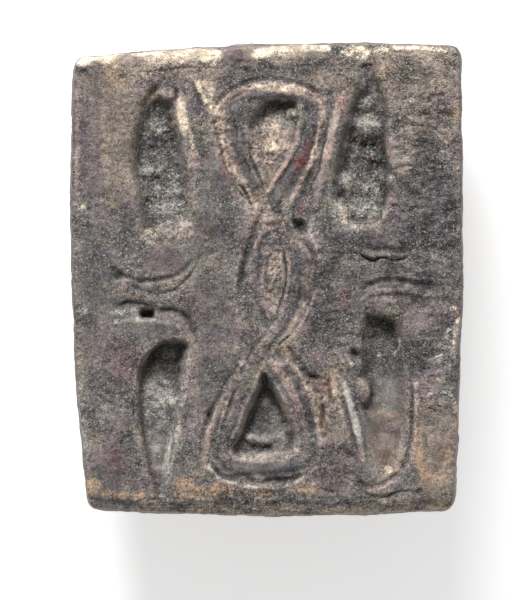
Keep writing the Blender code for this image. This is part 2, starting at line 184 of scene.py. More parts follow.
# %% [markdown]
# ## The carving
#
# The face carries an endless ribbon that crosses itself twice, four leaf-shaped hollows, and curved cuts at
# their inner ends. On the real stone a drill sank the hollows and a wheel the cuts. They could be modelled
# with Booleans, but every wall would then be knife-sharp. A height for each place on the face, worked out
# from short lists like the solid's, gives soft walls and lets wear, cracks and crust be added as more
# heights. The tools left no two cuts alike, so each depth and width also wanders a little along its cut.

# %% Leaf-shaped hollows
# Rows give the place along, the left and right edge and the depth; walls are left, right, upper and lower.
Hollow = namedtuple("Hollow", "rows walls")
LEAF_UPPER_LEFT = Hollow(
    (
        (77, -59, -49, 0.26),
        (73.5, -62.4, -44.6, 0.5),
        (65, -67.4, -42.4, 0.62),
        (55, -69.8, -39.6, 0.64),
        (45, -69.8, -37.4, 0.6),
        (35, -67.4, -35.6, 0.58),
        (25, -65.4, -34.8, 0.46),
        (17, -63, -35.6, 0.34),
        (13, -60, -41, 0.24),
    ),
    (0.5, 0.55, 0.2, 0.3),
)
LEAF_LOWER_LEFT = Hollow(
    (
        (-25, -51, -36.6, 0.95),
        (-29.6, -59, -37.4, 1.0),
        (-34, -62.6, -38.4, 1.0),
        (-46, -65.6, -40.2, 0.6),
        (-60, -64.8, -42.8, 0.44),
        (-72, -62.6, -45.2, 0.37),
        (-84, -59, -47.2, 0.3),
        (-94, -56.4, -48.2, 0.22),
        (-101, -55.5, -48.6, 0.12),
    ),
    (0.21, 0.5, 0.28, 0.05),
)
LEAF_UPPER_RIGHT = Hollow(
    (
        (90.5, 46.5, 54, 0.12),
        (82, 44.4, 58.4, 0.29),
        (75, 41.2, 61.4, 0.48),
        (66, 38.4, 62, 0.68),
        (58, 36, 62, 0.76),
        (50, 34.1, 62.6, 0.76),
        (41, 32.6, 63.4, 0.72),
        (33, 33, 62.4, 0.62),
        (26, 35, 59, 0.5),
        (21.5, 39, 55, 0.35),
    ),
    (0.46, 0.26, 0.2, 0.35),
)
LEAF_LOWER_RIGHT = Hollow(
    (
        (-13.5, 50, 57, 0.36),
        (-16.5, 46.6, 64.4, 0.64),
        (-22, 44.6, 70, 0.7),
        (-30, 43.6, 71, 0.5),
        (-40, 43.6, 71.6, 0.42),
        (-54, 46.4, 72, 0.4),
        (-66, 48.8, 71, 0.38),
        (-76, 53, 67.8, 0.34),
        (-82.5, 58, 63, 0.26),
    ),
    (0.7, 0.5, 0.3, 0.4),
)
LEAVES = (LEAF_UPPER_LEFT, LEAF_LOWER_LEFT, LEAF_UPPER_RIGHT, LEAF_LOWER_RIGHT)
print(f"{len(LEAVES)} leaves, the deepest {max(row[3] for leaf in LEAVES for row in leaf.rows):.2f} mm")

# %% Hollows of the ribbon, and a small pit
LOOP_HOLLOW_UPPER = Hollow(
    (
        (77.4, 0, 12, 0.45),
        (75, -4, 15.4, 0.7),
        (71, -7, 17, 0.72),
        (66.6, -11, 17.4, 0.52),
        (62, -12.6, 16.6, 0.38),
        (56, -9.8, 14.4, 0.33),
        (50, -7, 10.5, 0.3),
        (42, -3.6, 5.4, 0.24),
        (34.5, -0.8, 1.6, 0.15),
    ),
    (0.62, 0.24, 0.2, 0.3),
)
LOOP_HOLLOW_LOWER = Hollow(
    (
        (-38.5, -2, -0.4, 0.45),
        (-43, -4.6, 3, 0.8),
        (-50, -8.6, 9, 0.95),
        (-58, -12.6, 13.6, 1.0),
        (-65, -16, 16.5, 0.9),
        (-71, -19.4, 16.5, 0.75),
        (-77.5, -18, 12, 0.45),
    ),
    (0.34, 0.38, 0.14, 0.55),
)
LOOP_LENS = Hollow(
    (
        (18, 3, 7, 0.1),
        (8, -1, 9.5, 0.18),
        (-4, -2, 9, 0.18),
        (-16, 0, 4, 0.1),
    ),
    (0.15, 0.15, 0.2, 0.2),
)
PIT_LOWER_LEFT = Hollow(
    (
        (-12.2, -63.8, -56, 0.8),
        (-16.6, -63.8, -56, 0.8),
    ),
    (0.1, 0.1, 0.1, 0.1),
)
HOLLOWS = (*LEAVES, LOOP_HOLLOW_UPPER, LOOP_HOLLOW_LOWER, LOOP_LENS, PIT_LOWER_LEFT)
print(f"the face has {len(HOLLOWS)} hollows in all")

# %% Depth of a hollow
# A side wall takes at most this share of its hollow's width.
WIDEST_WALL = 0.55


def smooth(at, values, wanted):
    """Reads a smooth curve through the values, which are given at rising positions."""
    slopes = np.gradient(values, at)
    first = np.clip(np.searchsorted(at, wanted, side="right") - 1, 0, len(at) - 2)
    span = at[first + 1] - at[first]
    t = (wanted - at[first]) / span
    return (
        (2 * t**3 - 3 * t**2 + 1) * values[first]
        + (t**3 - 2 * t**2 + t) * span * slopes[first]
        + (3 * t**2 - 2 * t**3) * values[first + 1]
        + (t**3 - t**2) * span * slopes[first + 1]
    )


def hollow_depth(hollow, places):
    """How deep a hollow is at each place, 0 outside it; its corners are round."""
    x, y = places.T
    rows = np.array(hollow.rows[::-1], dtype=float)
    at = rows[:, 0] / HUNDRED * LENGTH / 2
    lower, upper = at[0], at[-1]
    along = np.clip(y, lower, upper)
    left = smooth(at, rows[:, 1] / HUNDRED * WIDTH / 2, along)
    right = smooth(at, rows[:, 2] / HUNDRED * WIDTH / 2, along)
    widest = (right - left) * WIDEST_WALL
    left_reach = (x - left) / np.minimum(hollow.walls[0], widest)
    right_reach = (right - x) / np.minimum(hollow.walls[1], widest)
    side_reach = np.clip(np.minimum(left_reach, right_reach), 0, 1)
    end_reach = np.clip(np.minimum((upper - y) / hollow.walls[2], (y - lower) / hollow.walls[3]), 0, 1)
    reach = np.clip(1 - np.hypot(1 - side_reach, 1 - end_reach), 0, 1)
    return smooth(at, rows[:, 3], along) * eased(reach)


FACE_MIDDLE = np.zeros((1, 2))
print(f"the lens is {hollow_depth(LOOP_LENS, FACE_MIDDLE)[0]:.2f} mm deep at the middle of the face")

# %% Grooves of the face
Groove = namedtuple("Groove", "points half_width depth")
GROOVES = (
    # Round the upper loop, from its lower left over the top to its lower right
    Groove(((-5, 28), (-13, 38), (-20.5, 50), (-23.5, 62), (-22, 72)), 0.26, 0.15),
    Groove(((-27.5, 69), (-20.5, 77.8), (-8.3, 83.2), (1.8, 84.1), (13.9, 82.6), (26, 77.2), (29.5, 72)),
        0.12, 0.21),
    Groove(((-26, 77), (-13, 85), (0, 86.5), (14, 85.7), (27, 82)), 0.34, 0.12),
    Groove(((28.5, 76), (29, 66), (26.5, 54), (21.5, 42), (16.5, 32), (14, 25)), 0.2, 0.17),
    # Beside the middle loop, left and right
    Groove(((-4, 26), (-7, 17), (-11, 8), (-13, 0), (-13.5, -7)), 0.15, 0.28),
    Groove(((-13.5, -2), (-13, -11), (-9, -19), (-5, -23)), 0.12, 0.08),
    Groove(((16, 19), (21.5, 11), (23.5, 2), (22.5, -7), (19, -15), (12, -24)), 0.22, 0.15),
    # Round the lower loop
    Groove(((-14, -36), (-20.5, -44.5), (-26.3, -53), (-30, -60), (-33, -68)), 0.12, 0.13),
    Groove(((-29, -76), (-24, -80.5), (-12, -83.3), (2, -84), (13, -83), (21, -79.5), (25, -74)), 0.14,
        0.24),
    Groove(((12, -30), (19.5, -39), (24.5, -49), (28, -59), (29, -68)), 0.18, 0.17),
    # The curved cuts at the inner ends of the leaf hollows
    Groove(((-78, 5.6), (-72, 1.6), (-64, -0.2), (-57, 0), (-48, 1.2), (-41.5, 4.4), (-36.4, 9.6)), 0.09,
        0.16),
    Groove(((-71, -1), (-64, -4), (-57, -5.2), (-48, -4.4), (-41.7, -1), (-35.6, 5.7), (-32.6, 11)), 0.07,
        0.09),
    Groove(((-77, -12), (-70, -10.2), (-64, -10.6), (-55.8, -12.8), (-47.7, -12.9), (-41.7, -15.3),
        (-37.6, -19), (-35.8, -25)), 0.15, 0.18),
    Groove(((41, 16), (47, 13.2), (53.3, 12.3), (65, 11.9), (77, 12.4)), 0.12, 0.12),
    Groove(((46, -7.5), (51, -2.4), (59, -0.2), (67.4, -0.6), (75.5, -2.3), (86, -2.8)), 0.11, 0.19),
    Groove(((-54.4, 81.4), (-57, 78), (-60, 72), (-62.4, 65)), 0.22, 0.36),
    Groove(((-54.6, 75), (-50, 73.2), (-46, 74)), 0.08, 0.13),
    Groove(((-46, 74), (-45, 77), (-45.6, 80)), 0.07, 0.16),
    # Round the lower right leaf
    Groove(((73.6, -43), (73.2, -55), (72.3, -67), (69.3, -76.5), (64.2, -82.5), (57.3, -86),
        (50.3, -86.6), (43.5, -82), (39, -77)), 0.1, 0.14),
    Groove(((34.5, -40), (38, -50), (41.3, -60), (45, -71)), 0.08, 0.18),
)
print(f"{len(GROOVES)} cuts are placed by hand")

# %% Lines on the face
# How far from its ends a cut is at its full depth, the step along its line, and its least half width
RUN_OUT = 0.7
LINE_STEP = 0.2
THINNEST = 0.015


def curve(points):
    """A smooth line through a few places on the face, in millimetres."""
    knots = on_face(points)
    run = run_of(knots)
    wanted = np.linspace(0, run[-1], max(2, round(run[-1] / LINE_STEP)) + 1)
    return np.column_stack([smooth(run, knots[:, axis], wanted) for axis in range(2)])


def nearest(line, places):
    """How far each place is from a line, and how far along the line its nearest point lies."""
    start = line[:-1]
    step = line[1:] - start
    length = np.linalg.norm(step, axis=1)
    offset = places[:, None, :] - start[None, :, :]
    share = np.clip((offset * step).sum(axis=2) / length**2, 0, 1)
    gap = np.linalg.norm(offset - share[:, :, None] * step, axis=2)
    best = gap.argmin(axis=1)
    rows = np.arange(len(places))
    run = run_of(line)
    return gap[rows, best], run[best] + share[rows, best] * length[best], run[-1]


def run_out(along, total):
    """1 along a cut, falling to 0 at its two ends."""
    reach = np.clip(np.minimum(along, total - along) / min(RUN_OUT, total / 2), 0, 1)
    return np.sqrt(reach * (2 - reach))


def groove_depth(groove, places):
    """How deep a groove is at each place, 0 outside it."""
    gap, along, total = nearest(curve(groove.points), places)
    share = run_out(along, total)
    across = np.clip(gap / np.maximum(groove.half_width * share, THINNEST), 0, 1)
    return groove.depth * share * (1 - across**2)


longest = max(run_of(curve(groove.points))[-1] for groove in GROOVES)
print(f"the longest cut is {longest:.1f} mm")

# %% The ribbon
# Four stretches, each over the ones before it; half widths are for the two ends of a stretch.
Band = namedtuple("Band", "points half_widths")
BANDS = (
    Band(
        ((0, 77.6), (-10, 76.2), (-16.6, 69.5), (-15.2, 59), (-11.6, 50), (-7, 41.5), (-1.5, 33),
            (6, 23.5), (12.5, 12), (13.8, 0)),
        (0.21, 0.26),
    ),
    Band(
        ((-8, 2), (-7.5, -9), (-4, -18), (0, -26), (5, -36), (12, -46), (17, -56), (20.5, -65), (19, -75),
            (0, -79.5)),
        (0.27, 0.21),
    ),
    Band(
        ((0, 77.6), (13, 77.4), (21.5, 74), (23, 66.5), (20.6, 58.5), (16.6, 50), (11.2, 41.7),
            (4.8, 33.5), (-0.5, 24), (-5.5, 12), (-8, 0)),
        (0.22, 0.27),
    ),
    Band(
        ((14, 4), (13.5, -6), (10, -15), (4, -22), (-2, -28), (-8, -37), (-13, -47), (-18, -58),
            (-22.5, -69), (-19, -77), (0, -79.5)),
        (0.26, 0.21),
    ),
)
print(f"the ribbon has {len(BANDS)} stretches")

# %% Laying the ribbon
# How far the ribbon lies below the face and its sides below its middle, and the small moats beside it
BAND_SINK = 0.05
BAND_ROUND = 0.13
MOAT_WIDTH = 0.14
MOAT_DEPTH = 0.15
# Unevenness: the size of its features in millimetres, its mean, its swing and its least
UNEVEN_SIZE = 0.8
UNEVEN_MEAN = 0.7
UNEVEN_SWING = 0.8
UNEVEN_LEAST = 0.2


def uneven(places, shift):
    """A share, at most 1, that wanders over the face."""
    return np.clip(UNEVEN_MEAN + UNEVEN_SWING * flat_noise(places, UNEVEN_SIZE, 3, shift), UNEVEN_LEAST, 1)


def lay_band(band, places, height, openness, ragged):
    """The face's height once a stretch of ribbon lies on it, with a small moat on either side."""
    gap, along, total = nearest(curve(band.points), places)
    first, last = band.half_widths
    half_width = (first + (last - first) * along / total) * ragged
    beside = (gap - half_width) / MOAT_WIDTH
    moat = -MOAT_DEPTH * openness * run_out(along, total) * np.clip(1 - np.abs(2 * beside - 1), 0, 1)
    ribbon = -BAND_SINK - BAND_ROUND * (gap / half_width) ** 2
    in_ribbon = (along > 0) & (along < total) & (gap <= half_width + THINNEST)
    return np.where(in_ribbon, ribbon, np.minimum(height, moat))


print(f"crust leaves {uneven(FACE_MIDDLE, 41.0)[0]:.2f} of a moat open at the middle of the face")

# %% The worn edge and the whole relief
# How wide the worn edge is and how far it falls, for the upper, left, lower and right sides
Edge = namedtuple("Edge", "width fall")
EDGES = (Edge(0.75, 0.5), Edge(0.2, 0.16), Edge(0.6, 0.42), Edge(0.2, 0.2))
# How much of a cut crust may fill, and how much the ribbon's width wanders and over what size
FILLED = 0.55
BAND_SHAKE = 0.25
BAND_SHAKE_SIZE = 0.45


def edge_fall(places):
    """How far the worn edge has fallen below the face at each place."""
    x, y = places.T
    gaps = (LENGTH / 2 - y, WIDTH / 2 + x, LENGTH / 2 + y, WIDTH / 2 - x)
    weights = np.array([1 / (np.maximum(gap, 0) + CORNER_RADIUS) ** 4 for gap in gaps])
    weights = weights / weights.sum(axis=0)
    widths = sum(weight * edge.width for weight, edge in zip(weights, EDGES))
    falls = sum(weight * edge.fall for weight, edge in zip(weights, EDGES))
    # Every fourth point of the rim is close enough
    rim = CLEAN_EDGE[::4]
    run = np.roll(rim, -1, axis=0) - rim
    inward = np.column_stack((-run[:, 1], run[:, 0])) / np.linalg.norm(run, axis=1)[:, None]
    gap = ((places[:, None, :] - rim[None, :, :]) * inward).sum(axis=2).min(axis=1)
    reach = np.clip(1 - gap / widths, 0, 1)
    return falls * (1 - np.sqrt(1 - reach**2))


def relief(places):
    """The height of the carved face at each place, 0 where it is flat and uncut."""
    height = -edge_fall(places)
    for hollow in HOLLOWS:
        height = np.minimum(height, -hollow_depth(hollow, places))
    openness = uneven(places, 41.0)
    for groove in GROOVES:
        height = np.minimum(height, -groove_depth(groove, places) * (1 - FILLED * (1 - openness)))
    ragged = 1 + BAND_SHAKE * np.clip(flat_noise(places, BAND_SHAKE_SIZE, 3, 45.0), -1, 1)
    for band in BANDS:
        height = lay_band(band, places, height, openness, ragged)
    return height


print(f"the middle of the face lies {-relief(FACE_MIDDLE)[0]:.2f} mm down")

# %% [markdown]
# ## The fine form of the face
#
# Up close the carving is uneven. Crust has filled parts of the hollows, lumps stand on their floors, thin
# ribs have been left between cuts, and there are cracks, pits and scratches. Sculpting would give this too,
# but couldn't be read back later. Each of these is a named list instead, and each kind has one function
# that adds its heights to the relief.

# %% Lumps
# A place in hundredths, the half sizes of an oval, how high it rises, and how far it is turned
Lump = namedtuple("Lump", "u v across along rise turn", defaults=(0,))
LUMPS = (
    # In the upper left leaf: a knob at its tip, and crust on its floor
    Lump(-49.8, 77.4, 4.4, 3.4, 0.3), Lump(-54, 62.6, 8.4, 3.4, 0.15, 14), Lump(-50, 59, 5, 3, 0.1, 10),
    Lump(-58, 45.5, 7.5, 3.6, 0.16, 5), Lump(-45, 50, 5, 3, 0.08, -8), Lump(-58, 36, 6, 4, 0.08, 20),
    Lump(-46, 36, 8, 4, 0.1), Lump(-50, 29, 13, 5, 0.12), Lump(-58.5, 18, 6, 4, 0.18, 10),
    Lump(-41, 22, 6, 6, 0.18, -10), Lump(-49, 18, 6, 4, 0.14), Lump(-46, 66, 5, 8, 0.12, 8),
    # In the lower left leaf
    Lump(-55.5, -36, 3.4, 2.6, 0.2), Lump(-60, -27, 7, 4.4, 0.75, 30), Lump(-48.5, -51, 6.4, 6, 0.28, 10),
    Lump(-57.5, -48.5, 3.6, 2.6, 0.18, -20), Lump(-59, -58, 3.6, 5, 0.12),
    Lump(-53, -62, 4.4, 3, 0.14, 25), Lump(-56, -71, 4, 3, 0.05), Lump(-51, -43, 6, 2.4, 0.2, -25),
    Lump(-54, -80, 4, 4, 0.12),
    # In the upper right leaf
    Lump(48.5, 81, 2.4, 5, 0.12, -8), Lump(54, 79.6, 2.4, 4, 0.1, 10), Lump(51.5, 64, 11, 7, 0.3),
    Lump(50, 73, 6, 4, 0.16), Lump(40.5, 56, 2.6, 2.6, 0.14), Lump(60, 42, 4.6, 5, 0.3, 20),
    Lump(40, 41, 5.4, 6, 0.32, 10), Lump(50, 37, 4, 3, 0.16), Lump(38.6, 27.6, 6, 6, 0.52, 25),
    Lump(48, 30, 7, 5, 0.16), Lump(57, 28, 6, 4, 0.24), Lump(55, 51, 8, 3, 0.12),
    # In the lower right leaf: a drop-shaped lump, and a higher floor below
    Lump(49, -46.6, 4.2, 6, 0.62, 8), Lump(46.6, -36.5, 3.4, 4.6, 0.4), Lump(46.4, -28, 3, 5, 0.3),
    Lump(44.4, -59.2, 2.3, 19, 0.34, 14.2), Lump(60, -30, 6, 3, 0.1), Lump(60, -56, 10, 4, 0.12),
    Lump(60, -70, 8, 6, 0.12), Lump(64, -62, 5, 3, 0.07),
    # In the two loops of the ribbon
    Lump(-3, 62, 5, 4, 0.12), Lump(5, 50, 5, 5, 0.12, -20), Lump(0, 54, 4, 3, 0.1, 20),
    Lump(13, 69.5, 3.4, 3, 0.5), Lump(-9.6, 70.6, 6, 5, 0.22, -20), Lump(-7.4, -66.2, 5, 2.8, 0.38, -20),
    Lump(-0.6, -67.2, 5.4, 2.6, 0.26, 8), Lump(9, -65, 6, 4, 0.16, 20), Lump(6, -57, 7, 6, 0.2, 20),
    Lump(0, -52, 4, 4, 0.16), Lump(11, -62, 4, 3, 0.2), Lump(-3.5, -83.6, 3.6, 2.4, 0.28),
    Lump(20, -80, 6, 3, 0.16, 20), Lump(25, -86, 9, 3, 0.07),
    # Crust that bridges the two crossings
    Lump(3, 25, 8, 3, 0.16), Lump(-5, 30, 4, 3, 0.16, -30), Lump(-1, -26, 5, 3, 0.16),
    Lump(8.4, -28, 3.8, 2.4, 0.2), Lump(8, -35.5, 3.4, 3, 0.16, 20), Lump(-28, -79, 3.6, 3, 0.14, -30),
    Lump(-10.5, -34.6, 3.6, 1.6, 0.12, 25), Lump(33, -46, 5, 7, 0.06, 10), Lump(86, -52, 8, 5, 0.07),
    Lump(84, -68, 8, 8, 0.06),
)
print(f"{len(LUMPS)} lumps are placed by hand")

# %% Ribs
Rib = namedtuple("Rib", "points half_width rise")
RIBS = (
    # Crests left standing between two cuts
    Rib(((37.4, 77), (35.5, 68), (32.4, 58.5), (28.4, 43), (24, 30), (22, 18), (25.5, 12)), 0.16, 0.1),
    Rib(((37.6, 78), (36, 71), (34, 64)), 0.24, 0.06),
    Rib(((10.6, 12), (11, 6), (10.6, -1.4), (9.5, -7), (8.4, -12), (6, -16.7), (1.7, -20.5), (-3, -23)),
        0.1, 0.1),
    Rib(((27.5, 70), (25.4, 57), (20.4, 45), (13, 34)), 0.08, 0.1),
    Rib(((16.6, 66), (15.6, 58.5), (12.9, 53), (6.8, 45), (1.3, 37.5), (-1.4, 32)), 0.08, 0.12),
    Rib(((-19.6, 68), (-18.6, 58), (-15, 49), (-9.8, 40.5)), 0.08, 0.08),
    Rib(((-19, 76), (-12, 79), (-4, 80), (8, 80), (18, 79), (25.5, 76)), 0.09, 0.1),
    Rib(((-5.6, 12), (-4.4, 17), (-1, 20), (3, 21.5), (7, 22)), 0.08, 0.1),
    Rib(((25.8, 13), (25.2, 4), (24, -4), (21.5, -12), (17, -19), (12, -25)), 0.07, 0.08),
    Rib(((-7, 12), (-8.5, 4), (-8, -4), (-5.5, -12)), 0.07, 0.05),
    Rib(((-3.5, 12), (-5, 4), (-4.5, -5), (-2, -13)), 0.07, 0.06),
    Rib(((-8, -29.6), (-13.5, -37), (-19, -45), (-22.8, -52), (-27.4, -60), (-30, -68), (-31.3, -76)),
        0.16, 0.1),
    Rib(((-13.4, -40.5), (-19.2, -50.5), (-23.2, -60.6), (-25.8, -71.5)), 0.07, 0.12),
    Rib(((9.8, -33), (17.9, -40.5), (22, -47.2), (26, -57.2), (27.4, -66)), 0.1, 0.12),
    Rib(((75, -44), (75.2, -55), (75, -66), (73, -76)), 0.1, 0.08),
    Rib(((-66, -7.4), (-58, -8.6), (-49, -7.8), (-41, -3)), 0.08, 0.05),
    Rib(((43, 14), (50, 11.2), (58, 10.6), (68, 10.3)), 0.08, 0.07),
    Rib(((44, 8.6), (52, 5.4), (60, 5), (68, 5.6), (76, 6.2)), 0.1, 0.06),
    Rib(((46, -10), (52, -5.6), (60, -4.6), (69, -5), (80, -7)), 0.09, 0.15),
    Rib(((47, -14), (53, -9.4), (60, -8.4), (67, -10)), 0.12, 0.12),
    Rib(((49, -14), (55, -11), (63, -11.4)), 0.08, 0.06),
    Rib(((-29, -78), (-24, -83), (-14, -86), (-2, -87), (9, -86.4), (18, -83)), 0.08, 0.08),
    # The fine ridges on the tip of the upper right leaf
    Rib(((46, 77), (51, 76), (57, 76.6)), 0.06, 0.07),
    Rib(((45, 73.6), (51, 73), (58, 73.6)), 0.06, 0.07),
    # The wall beside the upper left leaf
    Rib(((-42.6, 75), (-40, 66), (-37.4, 56), (-35, 46)), 0.14, 0.05),
)
print(f"{len(RIBS)} ribs are placed by hand")

# %% Cracks
Crack = namedtuple("Crack", "points half_width depth")
CRACKS = (
    Crack(((9, 11.2), (9.5, 7.9), (9.8, 4.2), (9.2, -1.4), (8.1, -5.1), (7.3, -8.8), (6.2, -13)), 0.065,
        0.18),
    Crack(((20, 15), (23, 9), (24, 3), (23.4, -4), (21, -11)), 0.055, 0.08),
    Crack(((5, -27), (8, -25.5), (12, -23.5)), 0.06, 0.16),
    Crack(((-75, 85), (-70, 84)), 0.05, 0.1),
    Crack(((-71, -1), (-64, -4.2), (-57, -5.4), (-48, -4.6), (-41.7, -1.2), (-36, 5)), 0.045, 0.09),
    Crack(((42.2, 11), (48.2, 9.4), (54.3, 7.7), (57.3, 9), (62.4, 7.7), (67.4, 8.1), (71, 9.6)), 0.055,
        0.26),
    Crack(((46.6, 88), (50, 90), (53.8, 89)), 0.06, 0.1),
    Crack(((45, -12), (48, -7), (53, -4), (60, -2.6), (68, -3)), 0.05, 0.07),
    Crack(((-77, -11.4), (-70, -9.8), (-64, -10.4)), 0.08, 0.06),
    Crack(((-55, -12.4), (-47.7, -12.6), (-41.7, -15), (-37.4, -19)), 0.06, 0.12),
    Crack(((-68, -1), (-60, -1), (-52, 0)), 0.06, 0.1),
    Crack(((-66, -46), (-67.4, -52), (-66, -58)), 0.06, 0.12),
    Crack(((-44.4, -57), (-46, -64), (-47.6, -71), (-48.6, -78)), 0.055, 0.1),
    Crack(((23, -84), (30, -88), (41, -89)), 0.05, 0.06),
    Crack(((47, -88.5), (54, -90.6), (60, -91), (68, -88.2), (78, -88.6)), 0.07, 0.1),
    Crack(((36, -80), (42, -84), (48, -87)), 0.05, 0.08),
    Crack(((-62, 56.2), (-58.5, 55.4), (-54.5, 56.4)), 0.07, 0.16),
    # Splits in the crust beside the ribbon
    Crack(((-27.5, 68.5), (-24.6, 60), (-23.4, 54), (-20, 47), (-13.6, 37), (-8, 31.6), (-4.3, 27.5)),
        0.055, 0.14),
    Crack(((-24.5, 58), (-22.6, 55.5), (-23.5, 51)), 0.07, 0.2),
    Crack(((-17, 66), (-14.6, 62), (-15.4, 58)), 0.05, 0.14),
    Crack(((-20.6, 53), (-17, 50.4), (-15.4, 47)), 0.05, 0.14),
    Crack(((-12, 52), (-8.6, 47), (-8, 43.4)), 0.05, 0.14),
    Crack(((-15, 40.6), (-11, 37), (-9, 33)), 0.07, 0.2),
    Crack(((25, 62), (22, 52), (17.5, 44.5), (13.5, 38)), 0.06, 0.14),
    Crack(((30.5, 66), (28.4, 55), (25.3, 45), (21, 35)), 0.06, 0.14),
    Crack(((-9.6, 58), (-6.6, 49.6), (-3.2, 42), (-0.6, 36.5)), 0.06, 0.12),
    Crack(((11.5, -33.5), (15, -35), (19, -38), (22, -43)), 0.07, 0.16),
    Crack(((25, -48), (28, -55), (29.6, -62)), 0.06, 0.14),
    Crack(((33, -33), (36.5, -36), (38, -40)), 0.06, 0.12),
    Crack(((21, -60), (26, -62), (33, -63)), 0.05, 0.08),
    Crack(((-8.6, -69.6), (-4, -70.6), (3.6, -70)), 0.16, 0.14),
    # Broken crust right of the lower crossing
    Crack(((9, -28), (12, -29.6), (14.2, -33)), 0.09, 0.12),
    Crack(((16, -34.4), (18.4, -36), (20.4, -39.6)), 0.1, 0.16),
    Crack(((19, -40), (24, -41.4), (29, -41.6), (31.6, -45), (32.4, -52)), 0.1, 0.2),
    Crack(((27.4, -53), (28.4, -58), (27, -62)), 0.09, 0.16),
    Crack(((24, -46), (27, -49), (28, -52)), 0.08, 0.14),
    # Cracks above the leaves
    Crack(((-46, 83.5), (-40, 83), (-35, 78), (-31, 72)), 0.06, 0.09),
    Crack(((-60, 86.6), (-46, 88), (-30, 88.4), (-20, 87.6)), 0.06, 0.07),
    Crack(((10, 89.4), (26, 89.2), (40, 90.4)), 0.06, 0.06),
)
print(f"{len(CRACKS)} cracks are placed by hand")

# %% Pits
Pit = namedtuple("Pit", "u v radius depth")
PITS = (
    Pit(-89, 29.5, 0.1, 0.14), Pit(-74.4, 1.2, 0.2, 0.16), Pit(-77, 4, 0.16, 0.1),
    Pit(16.4, 22.6, 0.27, 0.42), Pit(14, 24.6, 0.15, 0.26), Pit(18, 20, 0.15, 0.26),
    Pit(44.7, -31, 0.25, 0.32), Pit(50.4, -53.4, 0.14, 0.2), Pit(53.6, -49, 0.12, 0.14),
    Pit(-45.2, 78.6, 0.07, 0.16), Pit(-46.6, 80.4, 0.06, 0.12), Pit(49, 56.4, 0.2, 0.28),
    Pit(44.5, 58, 0.16, 0.22), Pit(54, 56, 0.14, 0.2), Pit(58.5, 57, 0.12, 0.14),
    Pit(45.7, 50.5, 0.09, 0.24), Pit(49.2, 50.5, 0.08, 0.2), Pit(-48, 77.6, 0.07, 0.12),
    Pit(-53, 68.6, 0.14, 0.18), Pit(-48, 67, 0.12, 0.16), Pit(-50, 57, 0.12, 0.12),
    Pit(20.7, 7, 0.09, 0.16), Pit(21.6, 0.7, 0.09, 0.2), Pit(18.6, -8.4, 0.08, 0.12),
    Pit(7, 13.8, 0.09, 0.16), Pit(3.4, 11, 0.07, 0.12), Pit(6.4, 4.8, 0.07, 0.12),
    Pit(36.6, 35, 0.14, 0.2), Pit(52, 36, 0.12, 0.16), Pit(55.8, 31.6, 0.1, 0.26),
    Pit(34.6, 40, 0.12, 0.18), Pit(-26, 66, 0.1, 0.14), Pit(-22.6, 70, 0.12, 0.14),
    Pit(3, -15, 0.08, 0.12), Pit(-29, -57, 0.1, 0.2), Pit(-24, -62, 0.07, 0.1),
    Pit(-32.4, -71, 0.09, 0.16), Pit(5.5, -83.3, 0.12, 0.14), Pit(38, -24, 0.08, 0.1),
    Pit(29, -44, 0.09, 0.14), Pit(31, -52, 0.08, 0.12), Pit(-51, -23.5, 0.1, 0.06),
    Pit(77, -88.5, 0.14, 0.16),
)
print(f"{len(PITS)} pits are placed by hand")

# %% Scratches
# Level ones on the right border and upright ones on the left
Scratches = namedtuple("Scratches", "count lowest highest reach turn depth")
SCRATCHED = (
    Scratches(34, (66, -8), (94, 64), 7, 4, 0.045),
    Scratches(12, (62, 66), (92, 88), 6, 8, 0.03),
    Scratches(16, (-94, 34), (-72, 84), 9, 84, 0.03),
    Scratches(12, (-92, -74), (-68, -20), 9, 86, 0.03),
)
SCRATCH_WIDTH = 0.055
SCRATCH_SEED = 12
SCRATCH_SPREAD = 7
SCRATCH_BEND = 0.6
SHORTEST_SHARE = 0.4


def scratches():
    """Short cracks strewn over the areas listed above, the same ones each time."""
    dice = np.random.default_rng(SCRATCH_SEED)
    strewn = []
    for area in SCRATCHED:
        for _ in range(area.count):
            middle = dice.uniform(area.lowest, area.highest)
            turn = math.radians(area.turn + dice.normal(0, SCRATCH_SPREAD))
            reach = area.reach * dice.uniform(SHORTEST_SHARE, 1)
            half = np.array((math.cos(turn), math.sin(turn))) * reach
            bend = dice.uniform(-SCRATCH_BEND, SCRATCH_BEND, 2)
            strewn.append(Crack((middle - half, middle + bend, middle + half), SCRATCH_WIDTH, area.depth))
    return tuple(strewn)


SCRATCHES = scratches()
print(f"{len(SCRATCHES)} scratches are strewn over the borders")

# %% Heights of the fine form
# Ribs stand at most this many times their listed rise.
RIB_RISE = 1.3


def swell(across):
    """A soft round profile: 1 in the middle, 0 from a distance of 1 on."""
    return np.clip(1 - across**2, 0, 1) ** 2


def lump_distance(item, places):
    """How far each place is from the middle of an oval, counted in its half sizes."""
    half = on_face((item.across, item.along))
    turn = math.radians(item.turn)
    offset = places - on_face((item.u, item.v))
    x = offset[:, 0] * math.cos(turn) + offset[:, 1] * math.sin(turn)
    y = offset[:, 1] * math.cos(turn) - offset[:, 0] * math.sin(turn)
    return np.hypot(x / half[0], y / half[1])


def line_share(item, places):
    """1 along the middle of a rib or a crack, falling softly to 0 at its sides and its ends."""
    gap, along, total = nearest(curve(item.points), places)
    return run_out(along, total) * swell(gap / item.half_width)


def crack_depth(places):
    """How deep cracks and scratches go at each place, 0 outside them."""
    depth = np.zeros(len(places))
    for crack in CRACKS + SCRATCHES:
        depth = np.maximum(depth, crack.depth * line_share(crack, places))
    return depth * uneven(places, 47.0)


